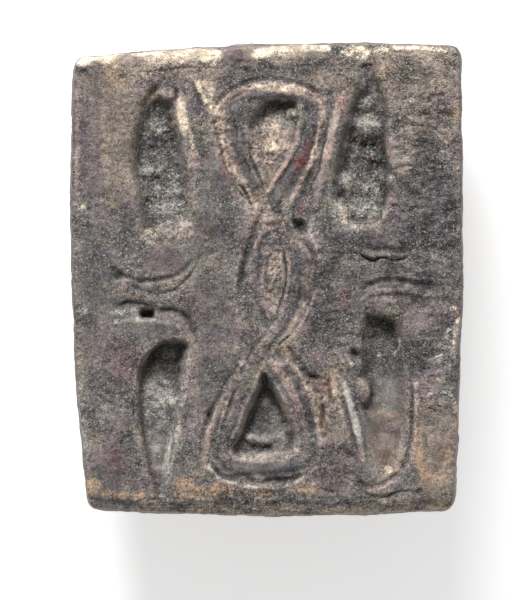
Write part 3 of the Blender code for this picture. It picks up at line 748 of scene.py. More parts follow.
def fine_form(places):
    """The heights that lumps and ribs add, and that pits take away."""
    height = np.zeros(len(places))
    left_standing = RIB_RISE * uneven(places, 43.0)
    for lump in LUMPS:
        height += lump.rise * swell(lump_distance(lump, places))
    for rib in RIBS:
        height += rib.rise * left_standing * line_share(rib, places)
    for pit in PITS:
        gap = np.linalg.norm(places - on_face((pit.u, pit.v)), axis=1)
        height -= pit.depth * swell(gap / pit.radius)
    return height


print(f"crust adds {fine_form(FACE_MIDDLE)[0]:.2f} mm at the middle of the face")

# %% [markdown]
# ## The face as a grid
#
# A height needs a fine, even mesh to stand on. A plain grid would leave a jagged rim, and remeshing would
# lose the order of the points. Here the grid is pulled onto the outline, hardly at all in the middle and
# fully at the rim, so its cells stay nearly square and its outermost points are the rim's own.

# %% Places of the grid
# The higher this is, the closer to the rim the pull onto the outline stays.
RIM_PULL = 3.5
GRID_NUMBERS = np.arange((ROWS + 1) * (COLUMNS + 1)).reshape(ROWS + 1, COLUMNS + 1)


def ring_place(side, share):
    """The rim's place at a share of the way along one of its four sides."""
    first = np.concatenate(([0], np.cumsum(SIDE_CELLS)))[side]
    at = first + share * np.array(SIDE_CELLS)[side]
    whole = np.floor(at).astype(int)
    part = (at - whole)[:, None]
    count = len(FACE_EDGE)
    return FACE_EDGE[whole % count] * (1 - part) + FACE_EDGE[(whole + 1) % count] * part


def grid_places():
    """The grid's places, row by row from the bottom."""
    s, t = np.meshgrid(np.linspace(-1, 1, COLUMNS + 1), np.linspace(-1, 1, ROWS + 1))
    s, t = s.ravel(), t.ravel()
    reach = np.maximum(np.abs(s), np.abs(t))
    safe = np.maximum(reach, 1e-9)
    across, along = s / safe, t / safe
    on_left_or_right = np.abs(s) >= np.abs(t)
    side = np.where(on_left_or_right, np.where(s < 0, 0, 2), np.where(t < 0, 1, 3))
    share = np.choose(side, ((1 - along) / 2, (across + 1) / 2, (along + 1) / 2, (1 - across) / 2))
    half = np.array((WIDTH / 2, LENGTH / 2))
    pull = ring_place(side, share) - np.column_stack((across, along)) * half
    return np.column_stack((s, t)) * half + pull * (reach**RIM_PULL)[:, None]


def rim_numbers():
    """The numbers of the grid's outermost points, in the order of the rim."""
    number = GRID_NUMBERS
    return np.concatenate((number[:0:-1, 0], number[0, :-1], number[:-1, -1], number[-1, :0:-1]))


PLACES = grid_places()
rim_error = np.abs(PLACES[rim_numbers()] - FACE_EDGE).max()
print(f"the grid has {len(PLACES)} points, and its rim is {rim_error:.6f} mm off the outline at most")

# %% [markdown]
# ## Wear
#
# Wear works in two ways. It lowers whatever stands proud, so rims and crests lose their sharpness, and it
# roughens everything a little. The first follows from comparing each height with the mean of its
# neighbours. The second is noise of several sizes, which is stronger where crust lies. Both only ever take
# stone away, so the worn stone stays inside the solid's box.

# %% Where crust has caked on
# A patch is an oval, like a lump, and a streak is a line; both say how strongly they count.
Patch = namedtuple("Patch", "u v across along strength turn", defaults=(0,))
Streak = namedtuple("Streak", "points half_width strength")
# Pale crust beside the ribbon and in its loops
CAKED = (
    Patch(1.4, 56, 12, 10, 0.8), Patch(2, 45, 6, 7, 0.2), Patch(4.5, 6, 4.5, 9, 0.9),
    Patch(2.4, -8, 3.6, 9, 0.55, 8), Patch(3.5, 24, 8, 3.6, 0.8), Patch(-52, 19, 14, 4, 0.45),
    Patch(-2, 29, 5, 3, 0.8), Patch(-22, 60, 4, 10, 0.8, -8), Patch(34, -47, 6, 10, 0.66, 12),
    Patch(27, -52, 5, 9, 0.6, 10), Patch(11, -40, 6, 6, 0.4, -40),
    Streak(((-25.5, 70), (-23.4, 61), (-20, 51), (-15.6, 44)), 0.22, 0.9),
    Streak(((-14.6, 42.5), (-9, 35), (-4.5, 29)), 0.2, 0.68),
    Streak(((28, 75), (27.6, 65), (24.4, 54), (19.4, 44), (14, 35)), 0.15, 0.7),
    Streak(((14, 16), (18.5, 11.7), (21.7, 6), (21.6, -1), (20.3, -6.5), (18.3, -11), (15.2, -16),
        (12, -21), (9, -25)), 0.16, 0.45),
    Streak(((-5, -27), (-10.5, -34), (-17, -43), (-23, -53), (-28, -64), (-31, -77)), 0.17, 0.3),
    Streak(((9, -30), (17.5, -38), (22.5, -47), (26, -57), (27, -68)), 0.16, 0.7),
    Streak(((-20, -72.5), (-10, -74), (4, -74), (13, -72.5)), 0.2, 0.55),
)
print(f"{len(CAKED)} places where crust has caked on")

# %% Where the stone is smooth, and where it is bedded
# Smooth, fine stone or crust
SMOOTH = (
    Patch(59, -61, 13, 21, 0.9), Patch(0, -62, 16, 16, 0.5), Patch(-53, -62, 9, 32, 0.4, 4),
    Patch(-51, 8, 12, 7, 0.6), Patch(-80, 62, 16, 32, 0.6), Patch(-84, -10, 14, 50, 0.3),
    Patch(-80, -82, 14, 12, 0.5), Patch(-28, -10, 12, 50, 0.25), Patch(-27, 40, 6, 26, 0.5, -14),
    Patch(84, -76, 12, 20, 0.7), Patch(-2, -79, 20, 4, 0.7), Patch(44.2, -59.2, 2, 18, 0.9, 14.2),
    Patch(-50.2, 77, 4.5, 4, 0.6), Patch(-42, 66, 3, 14, 0.8, 8), Patch(-56, -19, 16, 6, 0.6),
    Streak(((-97, 93), (-60, 94), (-27, 95), (30, 96)), 0.3, 0.75),
    Streak(((-20, 72), (-8, 77.5), (8, 78), (22, 75)), 0.16, 0.7),
    Streak(((-16.5, 69), (-15, 59), (-11.5, 50), (-7, 41.5)), 0.2, 0.2),
    Streak(((23, 70), (21, 60), (16.5, 50), (11, 41.5), (5, 33)), 0.2, 0.25),
    Streak(((36.5, 74), (33, 62), (29, 46), (25, 33)), 0.16, 0.6),
    Streak(((-66, 70), (-69, 50), (-68, 30)), 0.2, 0.5),
    Streak(((41, 72), (36, 56), (34, 42)), 0.2, 0.5),
)
# Fine level wrinkles that run through the surface
BEDDED = (
    Patch(80, 36, 18, 48, 0.9), Patch(76, 84, 20, 10, 0.5), Patch(-78, 60, 16, 30, 0.3),
    Patch(32, -10, 12, 26, 0.7), Patch(84, -40, 12, 18, 0.7), Patch(-52, 56, 12, 20, 0.4),
    Patch(51, 52, 11, 22, 0.6), Patch(60, 4, 26, 12, 0.5), Patch(0, 92, 90, 6, 0.6),
    Patch(-56, -6, 22, 8, 0.4), Patch(0, -94, 90, 5, 0.8),
)
print(f"{len(SMOOTH)} smooth places and {len(BEDDED)} bedded ones")

# %% Masks over the face
# How far a mask reaches beyond its oval and over what share it fades, and how its border wanders
MASK_REACH = 1.4
MASK_FADE = 0.9
BORDER_SIZE = 0.5
BORDER_SHAKE = 0.3
# Places are shaken a little, at two sizes, so that no cut runs quite straight.
SHAKES = ((1.1, 0.035), (0.4, 0.022))
# Crust lies where a cut is deeper than the first of these, and thickest from the second on. The third says
# how many rounds soften its mask, and the last how much of the fine roughness smooth places lose.
CRUST_FROM = 0.2
CRUST_FULL = 0.55
CRUST_ROUNDS = 3
CALMED = 0.75


def soften(heights, rounds):
    """Each height becomes a mean of its neighbours' in the grid, several times over; the rim stays."""
    grid = heights.reshape(ROWS + 1, COLUMNS + 1).copy()
    for _ in range(rounds):
        grid[1:-1, :] = (grid[:-2, :] + 2 * grid[1:-1, :] + grid[2:, :]) / 4
        grid[:, 1:-1] = (grid[:, :-2] + 2 * grid[:, 1:-1] + grid[:, 2:]) / 4
    return grid.ravel()


def area_mask(items, places, border):
    """The strongest of a list's ovals and streaks at each place."""
    mask = np.zeros(len(places))
    for item in items:
        if isinstance(item, Patch):
            distance = lump_distance(item, places)
        else:
            distance = nearest(curve(item.points), places)[0] / item.half_width
        reach = np.clip((MASK_REACH - distance + border) / MASK_FADE, 0, 1)
        mask = np.maximum(mask, item.strength * eased(reach))
    return mask


def face_mask(items, shift):
    """A list's mask over the whole face."""
    return area_mask(items, PLACES, BORDER_SHAKE * flat_noise(PLACES, BORDER_SIZE, 3, shift))


shake = sum(
    reach * np.column_stack([flat_noise(PLACES, size, 2, shift) for shift in (3.1, 17.7)])
    for size, reach in SHAKES
)
cut = np.concatenate([relief(block) for block in np.array_split(PLACES + shake, 10)])
# How deep a place lies in a hollow or a cut, without the fall of the worn edge
cut_depth = np.clip(-cut - edge_fall(PLACES), 0, None)
crust = soften(ramped(cut_depth, CRUST_FROM, CRUST_FULL), CRUST_ROUNDS)
caked = face_mask(CAKED, 27.0)
fine_zone = face_mask(SMOOTH, 29.0)
coarse = 1 - CALMED * fine_zone
bedded = face_mask(BEDDED, 35.0)
print(f"crust lies on {100 * (crust > 0.5).mean():.0f} % of the face")
print(f"and is caked on {100 * (caked > 0.5).mean():.0f} % of it")

# %% Worn crests
# Cracks wander more than the carving does, and wrinkles, which are drawn out level, more than cracks.
CRACK_SHAKE = 2
WRINKLE_SHAKE = 3
WRINKLE_SIZE = 0.17
BED_STRETCH = (0.4, 1.0)
# A crest is judged against the mean of this many rounds, and loses this share of its height.
CREST_ROUNDS = 14
RIM_WEAR = 0.35

cracks = crack_depth(PLACES + CRACK_SHAKE * shake)
heights = soften(cut + fine_form(PLACES + shake), 1) - cracks
wrinkles = flat_noise((PLACES + WRINKLE_SHAKE * shake) * BED_STRETCH, WRINKLE_SIZE, 3, 39.0)
crest = heights - soften(heights, CREST_ROUNDS)
heights = heights - RIM_WEAR * np.clip(crest, 0, None)
print(f"the highest crest stood {crest.max():.2f} mm proud before it was worn")

# %% Roughness
# Noise seldom rises above this, so with it taken off noise only lowers the stone.
NOISE_TOP = 0.7
# How far each size of noise moves the bare stone, crust, and crust that is caked on, in millimetres
BROAD_DEPTH = 0.02
MIDDLING_DEPTH = 0.028
SMALL_DEPTH = 0.022
TINY_DEPTH = 0.02
CRUST_MIDDLING = 0.05
CRUST_LUMPS = 0.06
CAKED_LUMPS = 0.08
CAKED_GRAIN = 0.04
WRINKLE_DEPTH = 0.055
WRINKLE_SINK = 0.025
# The broken cracks of split crust: how much of the noise's range they take, and how deep they are
SPLIT_RANGE = 0.1
SPLIT_DEPTH = 0.1
# A fine crest is judged against the mean of this many rounds.
FINE_CREST_ROUNDS = 3

broad = flat_noise(PLACES, 2.6, 2, 5.0)
middling = flat_noise(PLACES, 0.7, 3, 9.0)
lumpy = flat_noise(PLACES, 0.32, 3, 33.0)
small = flat_noise(PLACES, 0.2, 2, 13.0)
tiny = flat_noise(PLACES, 0.12, 1, 21.0)
rough = BROAD_DEPTH * (broad - NOISE_TOP) + MIDDLING_DEPTH * (middling - NOISE_TOP)
rough += coarse * (SMALL_DEPTH * (small - NOISE_TOP) + TINY_DEPTH * (tiny - NOISE_TOP))
rough += crust * (CRUST_MIDDLING * middling + CRUST_LUMPS * coarse * lumpy)
rough += caked * coarse * (CAKED_LUMPS * lumpy + CAKED_GRAIN * small)
rough += bedded * (WRINKLE_DEPTH * wrinkles - WRINKLE_SINK)
split = caked * np.clip(1 - np.abs(middling + 0.5 * lumpy) / SPLIT_RANGE, 0, 1)
rough -= SPLIT_DEPTH * split
seams = np.clip(cracks / SPLIT_DEPTH + 0.5 * split, 0, 1)
heights = np.minimum(heights + rough, 0)
# Crests and creases a few cells wide; the material lightens the crests as painted highlight
# and darkens the creases as painted shade
fine_crest = heights - soften(heights, FINE_CREST_ROUNDS)
print(f"the face reaches {-heights.min():.2f} mm down")

# %% [markdown]
# ## The sides and the back
#
# Below the face the sides bulge to the girdle and the back swells out in a low dome, which ends in a small
# flat that the stone lies on. The photograph hides all of this, so it is plainer: rings of points that
# follow the solid's own formula. The upper rings have a point for each cell of the face and the lower ones
# half as many, because nothing fine happens there.

# %% Rings of the sides and the back
# The solid's own girdle, flat and fullness, and how many rings follow them
GIRDLE_HEIGHT = 4.7
REST_WIDTH = 4.6
BACK_FULLNESS = 2.6
WALL_ROWS = 16
FINE_ROWS = 7
BACK_ROWS = 16


def wall_ring(share, edge_heights):
    """One ring of the side wall, from the face's edge at 0 to the girdle at 1."""
    ring = FACE_EDGE + (GIRDLE - FACE_EDGE) * math.sin(math.pi / 2 * share)
    return np.column_stack((ring, edge_heights + (GIRDLE_HEIGHT - edge_heights) * share))


def back_ring(turn, last_turn):
    """One ring of the back, from the girdle at turn 0 to the flat that the stone rests on."""
    power = 2 / BACK_FULLNESS
    scale = math.cos(turn) ** power
    fall = math.sin(turn) ** power / math.sin(last_turn) ** power
    round_share = (turn / last_turn) ** 2
    angles = np.arctan2(GIRDLE[:, 1] / LENGTH, GIRDLE[:, 0] / WIDTH)
    oval = np.column_stack((np.cos(angles) * WIDTH / 2, np.sin(angles) * LENGTH / 2))
    ring = (GIRDLE * (1 - round_share) + oval * round_share) * scale
    return np.column_stack((ring, np.full(len(ring), GIRDLE_HEIGHT * (1 - fall))))


def block_parts(edge_heights):
    """The rings below the face, as arrays of points; the later ones have half as many."""
    rings = [wall_ring(step / WALL_ROWS, edge_heights) for step in range(1, WALL_ROWS + 1)]
    last_turn = math.acos((REST_WIDTH / WIDTH) ** (BACK_FULLNESS / 2))
    for step in range(1, BACK_ROWS + 1):
        rings.append(back_ring(last_turn * step / BACK_ROWS, last_turn))
    return rings[:FINE_ROWS] + [ring[::2] for ring in rings[FINE_ROWS:]]


print(f"{len(block_parts(np.full(len(FACE_EDGE), HEIGHT)))} rings lie below the face")


# %% The stone as one mesh
def grid_faces():
    """The four-sided faces of the grid."""
    number = GRID_NUMBERS
    corners = (number[:-1, :-1], number[:-1, 1:], number[1:, 1:], number[1:, :-1])
    return np.column_stack([corner.ravel() for corner in corners]).tolist()


def ring_faces(upper, lower):
    """The faces between two rings of point numbers, where the lower may have half as many."""
    count = len(lower)
    faces = []
    for index in range(count):
        after = (index + 1) % count
        if len(upper) == count:
            faces.append((upper[index], lower[index], lower[after], upper[after]))
        else:
            left, middle = upper[2 * index], upper[2 * index + 1]
            right = upper[(2 * index + 2) % len(upper)]
            faces.append((left, lower[index], middle))
            faces.append((middle, lower[index], lower[after]))
            faces.append((middle, lower[after], right))
    return faces


def stone_mesh():
    """The whole stone before its string hole is cut, in millimetres."""
    points = [np.column_stack((PLACES, HEIGHT + heights))]
    faces = grid_faces()
    upper = rim_numbers()
    total = len(PLACES)
    for ring in block_parts(points[0][upper, 2]):
        lower = np.arange(total, total + len(ring))
        faces.extend(ring_faces(upper, lower))
        points.append(ring)
        total += len(ring)
        upper = lower
    faces.append(upper[::-1].tolist())
    data = bpy.data.meshes.new("seal_stone_fine")
    corners = [tuple(int(number) for number in face) for face in faces]
    data.from_pydata(np.vstack(points).tolist(), [], corners)
    data.validate()
    return data


stone_data = stone_mesh()
print(f"the stone has {len(stone_data.vertices)} points and {len(stone_data.polygons)} faces")

# %% [markdown]
# ## Rough sides
#
# The sides show saw marks and knocks that have worn down. They can't be heights above the face, so each
# point there moves inwards along its own normal. The movement fades out towards the small flat that the
# stone lies on, which stays level.

# %% Roughen the sides and the back
# How deep the wear goes, the sizes of its noise with the share of each, and the noise's usual top
SIDE_ROUGHNESS = 0.06
SIDE_SIZES = ((1.6, 0.5), (0.5, 0.3), (0.18, 0.2))
SIDE_NOISE_TOP = 0.5
# From this height on the sides are fully rough.
ROUGH_FROM = 0.4


def read_points(data, what):
    """The points of a mesh, or their normals, as an array."""
    flat = np.empty(len(data.vertices) * 3)
    data.vertices.foreach_get(what, flat)
    return flat.reshape(-1, 3)


points = read_points(stone_data, "co")
normals = read_points(stone_data, "normal")
below = np.arange(len(PLACES), len(points))
side_noise = sum(
    share * (noise_at(points[below], size, 3, size) - SIDE_NOISE_TOP) for size, share in SIDE_SIZES
)
on_back = ramped(points[below, 2], 0, ROUGH_FROM)
points[below] += normals[below] * (SIDE_ROUGHNESS * side_noise * on_back)[:, None]
points = np.clip(points, lowest, highest)
stone_data.vertices.foreach_set("co", points.ravel())
print(f"the sides are worn by up to {SIDE_ROUGHNESS * -side_noise.min():.3f} mm")

# %% [markdown]
# ## Where the stains and the crust lie
#
# Colour on this stone follows its history: ochre at the foot, purple and red mineral patches, pale crust in
# the cuts, and cream where the top edge is worn. Some of it is painted light instead: the cream on the top
# edge and the pale streaks on the ribbon's top bar and on some rims are partly painted highlight, and the
# dark stain in the grooves, in the tops of the hollows and along the lower edge is partly painted shade. One
# picture wrapped round the stone would do, but this lesson uses no images. Instead every point carries a few
# masks, each named after its stain. A mask is a list of ovals and streaks, and the material breaks up its
# borders with noise. Stains that come later in these lists lie over the earlier ones.

# %% The stone's own warm and cool parts
STAINS = {}
STAINS["tan"] = (
    Patch(-76, 64, 11, 30, 1.0, 4), Patch(-60, 87, 40, 5, 0.8, 2), Patch(-50, 92.4, 46, 4, 0.9, 3),
    Patch(14, 93, 20, 4, 0.9), Patch(66, 93, 30, 4, 0.85, -2), Patch(46, 100, 50, 3, 0.8, -2),
    Patch(-29, 62, 7, 20, 0.4, -14), Patch(-26, 8, 7, 10, 0.34), Patch(-44, 0, 10, 4, 0.3),
    Patch(-37, 32, 4, 12, 0.3), Patch(-32, 85, 12, 6, 0.7), Patch(33, 86, 14, 9, 0.7),
    Patch(76, 82, 22, 16, 0.56), Patch(90, 62, 8, 14, 0.4), Patch(74, 52, 12, 12, 0.4),
    Patch(-33, -76, 8, 12, 0.5, -14), Patch(-34, -58, 4, 14, 0.35, -8), Patch(0, -90, 60, 4, 0.7),
    Patch(0, -98, 96, 3.6, 1.0), Patch(-20, -97, 30, 2.4, 1.0), Patch(84, -72, 13, 22, 0.8),
    Patch(-62, 72, 5, 12, 0.4, -14), Patch(70, -96.4, 22, 2, 0.8), Patch(-20, -97, 60, 2, 0.5),
    Patch(36, -64, 8, 18, 0.4, 8), Patch(60, -68, 11, 15, 0.66), Patch(64, -92, 30, 3, 0.5),
    Patch(10, 90, 34, 4, 0.6), Patch(2, 45, 7, 12, 0.5), Patch(33, -38, 9, 10, 0.1),
    Patch(-22, -32, 5, 7, 0.5, 20), Patch(-36, -34, 4, 8, 0.4), Patch(-10, 70, 5, 5, 0.6),
)
STAINS["slate"] = (
    Patch(-86, 0, 10, 20, 0.55), Patch(-66, 20, 10, 20, 0.3), Patch(-28, -42, 8, 12, 0.55, -14),
    Patch(48, 4, 32, 13, 0.58), Patch(82, 22, 16, 32, 0.95), Patch(84, -22, 12, 12, 0.4),
    Patch(59, -32, 11, 14, 0.65), Patch(31, -12, 14, 22, 0.62), Patch(54, 17.4, 14, 4, 0.8),
    Patch(-2, 16, 2, 3, 0.3), Patch(-9, -10, 3.4, 8, 0.62), Patch(32, 22, 7, 12, 0.5),
    Patch(-54, 56, 14, 3.4, 0.7, 5), Patch(-53, 40, 14, 3, 0.6), Patch(50, 52, 12, 6, 0.6),
    Patch(30, -92, 22, 4, 0.6), Patch(48, 84, 5, 8, 0.4), Patch(8, 88, 26, 3, 0.6),
    Patch(76, -34, 9, 16, 0.55), Patch(-25, -16, 8, 20, 0.42, 10), Patch(-1.6, 61.4, 4.4, 3.4, 0.42),
    Patch(-33, 24, 6, 10, 0.3), Patch(-50, -8, 14, 5, 0.3),
    Streak(((-17.6, 69), (-16, 59), (-12.2, 50), (-7.6, 41.5), (-3.4, 35)), 0.14, 0.9),
    Streak(((20.5, 75), (23, 67), (20.8, 58.5), (17, 50), (11.4, 41.7), (5, 34), (2, 28)), 0.25, 0.8),
    Streak(((-13, 76), (-2, 77), (8, 77), (20, 75.5)), 0.12, 0.9),
    Streak(((1, 17), (-3, 12), (-5, 4)), 0.15, 0.5),
    Streak(((14.5, 9), (13.5, 0), (12.5, -8), (10, -16), (8, -21)), 0.16, 0.6),
    Streak(((44, -24), (44.4, -32), (46, -38)), 0.16, 0.6),
    Streak(((-20, -77.6), (-8, -79.6), (6, -80), (18, -77.6)), 0.2, 1.0),
    Streak(((39.4, 65), (37.5, 58), (35.6, 48), (34.4, 40)), 0.17, 0.66),
)
print(f"{len(STAINS['tan'])} tan and {len(STAINS['slate'])} slate places")

# %% Purple and red mineral patches
STAINS["purple"] = (
    Patch(-64.5, 92, 4, 2.2, 0.7), Patch(-84, 91, 3, 2, 0.4), Patch(-51, 8, 12, 6, 0.65),
    Patch(-73, -32, 8, 12, 0.6, 10), Patch(-89, -66, 3, 12, 0.2), Patch(-84.5, 62, 2.2, 18, 0.6),
    Patch(-93, 60, 3, 26, 0.3), Patch(-76, -76, 6, 8, 0.75), Patch(-88, -26, 5, 14, 0.4),
    Patch(-2, -78.6, 18, 2.4, 0.3), Patch(50, 18, 9, 4, 0.34), Patch(64.5, 33, 2.6, 9, 0.6),
    Patch(95.5, 55, 4, 6, 0.6), Patch(33, -82, 10, 7, 0.6), Patch(-52, -21, 12, 4, 0.35),
    Patch(-15.5, -52, 3, 15, 0.16, -18), Patch(60, -4, 20, 5, 0.25), Patch(18, -60, 3.4, 12, 0.36, 10),
    Patch(-16, 93, 8, 4, 0.8), Patch(28, -28, 7, 6, 0.4), Patch(-21, 42, 4, 12, 0.5, -16),
    Patch(48.6, -49, 3.4, 4, 0.75, 10), Patch(61, -62, 6, 3, 0.8), Patch(60, -69, 8, 6, 0.5),
    Patch(27, 34, 1.8, 12, 0.4, -10), Patch(79, 22, 14, 30, 0.2),
)
STAINS["red"] = (
    Patch(37, 73.6, 2.6, 4.6, 0.85, -8), Patch(31.4, 54, 1.6, 3.4, 0.36, -10),
    Patch(17.2, 49, 2.8, 4.6, 0.9, -25), Patch(20.4, 55, 1.8, 4, 0.6, -20),
    Patch(14.6, 45, 1.6, 2.6, 0.5, -30), Patch(13.6, 50, 2.2, 1.8, 0.5, -25),
    Patch(19.6, 35, 1.8, 4, 0.55, -20), Patch(17, 28.6, 2, 3, 0.5, -30),
    Patch(-67.5, -7.4, 3.2, 1.2, 0.75), Patch(-36.8, 50, 2.6, 3.6, 0.34, 8),
    Patch(46.4, 49, 2.8, 0.8, 0.8), Patch(-70, -30, 3, 5, 0.36), Patch(-75, -40, 5, 4, 0.3),
    Patch(-54, -76, 2, 0.9, 0.6, -15), Patch(94, 22, 2, 1.5, 0.6), Patch(54, 18, 4, 2, 0.36),
    Patch(38.5, -9, 3, 7, 0.5), Patch(24, -33, 5, 4, 0.4), Patch(28, -43.6, 6, 4.4, 0.32, 10),
    Patch(-77, -76, 3.4, 4, 0.4), Patch(-21, 44, 2.4, 5, 0.3), Patch(51, 80, 0.9, 3, 0.6, -15),
    Patch(15, -54, 2.4, 4, 0.45), Patch(-70, -52, 1.6, 5, 0.4, 10),
    Streak(((46, 60), (50.5, 58.8), (55, 57.4), (58, 55.8)), 0.08, 0.95),
)
print(f"{len(STAINS['purple'])} purple and {len(STAINS['red'])} red places")

# %% Ochre earth, and pink crests and rims
STAINS["ochre"] = (
    Patch(-78, 88.4, 6, 4.4, 1.0, -10), Patch(-77, 83, 6, 2.4, 0.6, -30),
    Patch(-88, -86, 5, 3.4, 0.95, -25), Patch(-80, -89.5, 5, 2, 0.85, -10),
    Patch(-73, -90, 3.5, 1.5, 0.8), Patch(-64, -90, 3, 1.8, 0.75), Patch(-42, -86, 6, 6, 0.58),
    Patch(-28, -88, 13, 3, 0.65, 4), Patch(-3, -89, 5, 2.2, 0.7), Patch(20, -87, 6, 3, 0.5, 10),
    Patch(84, -79, 9, 8, 0.52), Patch(92, -74, 4, 4, 0.5, 30), Patch(94.6, -62, 2, 12, 0.4),
    Patch(31, -43, 5, 7, 0.36, 10), Patch(27, -56, 3, 8, 0.35, 10), Patch(8, -28.5, 4, 2, 0.7),
    Patch(95.5, 71, 2, 5, 0.75), Patch(95.6, -16, 1.6, 6, 0.45), Patch(-36, -9, 8, 4, 0.3),
    Patch(-31, 18, 5, 8, 0.25, -20), Patch(60, 88, 8, 4, 0.35), Patch(-4, 34, 3.4, 3, 0.55),
    Patch(88, -95, 10, 3, 0.5), Patch(60, -73, 9, 6, 0.3), Patch(60, -57, 10, 2.6, 0.5),
    Streak(((76.4, -62), (76, -70), (77.6, -78), (80, -84)), 0.17, 0.9),
)
STAINS["pink"] = (
    Patch(-36.8, 50.8, 3.6, 5, 1.0, 8), Patch(-20, 74, 2.4, 4, 0.6, -30), Patch(60, -57.5, 10, 2.6, 0.7),
    Patch(-50, 77.4, 3.4, 2.8, 0.75), Patch(49, -46, 3, 4, 0.42, 10), Patch(79, -6, 6, 2.4, 0.6),
    Patch(-3, -29, 4, 3, 0.6), Patch(-95, 50, 1.5, 26, 0.55), Patch(86, -67, 6, 4, 0.6),
    Patch(84, -78, 9, 7, 0.28), Patch(-30, -74, 3, 5, 0.6), Patch(-28.6, -67, 2.4, 4, 0.6),
    Patch(47.4, -72, 1.6, 5, 0.7, 14.2), Patch(43, 56, 1.4, 1, 0.4),
    Streak(((37, 77), (36.2, 72.6)), 0.24, 0.6),
    Streak(((35.6, 70), (33.6, 63), (31.4, 55), (30.2, 51)), 0.15, 1.0),
    Streak(((29.6, 48), (27.6, 41), (23.6, 29)), 0.13, 0.36),
    # This streak along the crest of the ribbon's top bar is partly painted highlight
    Streak(((-19, 75.6), (-12, 78.8), (-4, 79.8), (8, 80), (18, 78.6), (25.5, 75.6)), 0.16, 1.0),
    Streak(((-19.6, 68), (-18.8, 58), (-15, 49)), 0.06, 0.5),
    Streak(((15.6, 58), (12.9, 53), (6.8, 45), (1.3, 37.5), (-1.5, 31.7)), 0.09, 0.6),
    Streak(((20.4, 45), (14.6, 37), (9.8, 30)), 0.09, 0.7),
    Streak(((-5.6, 12), (-4.4, 17), (-1, 20), (3, 21.5), (7, 22)), 0.07, 0.45),
    Streak(((10.6, 12), (11, 6), (10.6, -1.4), (9.5, -7), (8.4, -12), (6, -16.7), (1.7, -20.5),
        (-3, -23)), 0.07, 0.5),
    Streak(((24, -4), (21.5, -12), (17, -19), (12, -25)), 0.06, 0.6),
    Streak(((-27.4, -60), (-30, -68), (-31.3, -76)), 0.13, 0.4),
    Streak(((2, -34), (9.8, -42), (14.6, -51), (18, -60)), 0.16, 0.5),
    Streak(((75, -44), (75.2, -55), (75, -66), (73, -76)), 0.09, 0.75),
    Streak(((67, -79), (60, -85.5), (52, -88)), 0.1, 0.6),
)
print(f"{len(STAINS['ochre'])} ochre and {len(STAINS['pink'])} pink places")

# %% Pale ash on lumps, ridges and scratches, and painted highlight along rims
STAINS["ash"] = (
    Patch(-59, 45.5, 6, 2.4, 0.7), Patch(-56, 62, 7, 1.8, 0.4, 12), Patch(-58.5, 17.4, 5.5, 3.4, 0.65),
    Patch(-41, 21, 5, 4, 0.4), Patch(-48, 27, 12, 8, 0.18), Patch(-50, 39, 9, 4, 0.3),
    Patch(-42, 60, 2, 12, 0.25, 8), Patch(-50, -51, 7, 9, 0.6), Patch(-58, -50, 5, 4, 0.4),
    Patch(-47.6, -53.6, 3, 3.4, 0.5), Patch(-56.6, -44.4, 2.4, 2, 0.4), Patch(-54, -76, 7, 10, 0.12, 4),
    Patch(51, 63.6, 8, 4.4, 0.36, 6), Patch(46, 68, 4, 2.4, 0.3, -20), Patch(51, 71, 4, 2.4, 0.45),
    Patch(38.6, 27, 6.4, 6.6, 1.0, 25), Patch(49, 29, 10, 4, 0.6), Patch(39.4, 41.4, 4, 4, 0.32),
    Patch(60, 42.4, 4.4, 3.4, 0.42), Patch(45, 20, 5, 3, 0.45, 20), Patch(-2, 61, 5, 4, 0.25),
    Patch(34, 63.4, 1.4, 4, 0.62, -10), Patch(-70, -13.8, 8, 1.5, 0.6, 5),
    Patch(-12, -35.5, 3, 1.6, 0.8, -20), Patch(73, 75, 1.4, 1, 0.9), Patch(-58, 1, 0.9, 0.7, 0.9),
    Patch(-88, 12, 1, 0.8, 0.8), Patch(-92, -13, 2.4, 1.4, 0.7, 30), Patch(-88, 87, 1.2, 0.8, 0.9),
    Patch(88, -61, 1.8, 0.5, 0.8), Patch(19.5, 67.5, 1, 0.8, 0.9), Patch(13, 69.5, 2.4, 2.4, 0.6),
    Patch(-19, 90, 1.2, 0.8, 0.8), Patch(-9, -3, 3, 5, 0.2), Patch(-4, -18, 5, 4, 0.3),
    Patch(39, 44.6, 1.4, 1.1, 0.95), Patch(43.7, -57.6, 1.7, 15, 1.0, 14.2),
    Patch(-5, -65.8, 6, 2, 0.32, -4), Patch(9, -62, 6, 7, 0.14), Patch(24, 22, 3, 5, 0.4),
    Patch(92, -28, 5, 8, 0.4), Patch(95, -20, 2, 7, 0.6), Patch(86, -33, 3, 2, 0.4),
    Patch(-92, -60, 5, 20, 0.32), Patch(-84, -60, 3, 4, 0.42),
    Streak(((-38.6, -34), (-40.8, -42), (-43, -52), (-45, -60)), 0.12, 0.4),
    Streak(((-45, -60), (-47.6, -70), (-50, -81), (-52, -94)), 0.2, 0.5),
    Streak(((-76, -17.6), (-66, -16.8), (-54, -17.4), (-44, -19)), 0.07, 0.7),
    Streak(((81, -48), (92, -47.5), (96, -55)), 0.05, 0.6),
    Streak(((68, -62), (67.6, -70), (64, -78)), 0.06, 0.35),
    Streak(((67.4, -24), (66.8, -28), (63.4, -32)), 0.06, 0.6),
    # These three streaks along the rims of the lower loop are partly painted highlight
    Streak(((-29, -78), (-24, -83), (-14, -86), (-2, -87)), 0.06, 0.6),
    Streak(((-2, -87), (9, -86.4), (18, -83)), 0.05, 0.4),
    Streak(((-13.4, -40.5), (-19.2, -50.5), (-23.2, -60.6), (-25.8, -71.5)), 0.05, 0.6),
    Streak(((-15, -73.5), (-4, -74), (8, -73.5), (13, -71)), 0.16, 0.32),
)
print(f"{len(STAINS['ash'])} ash places")
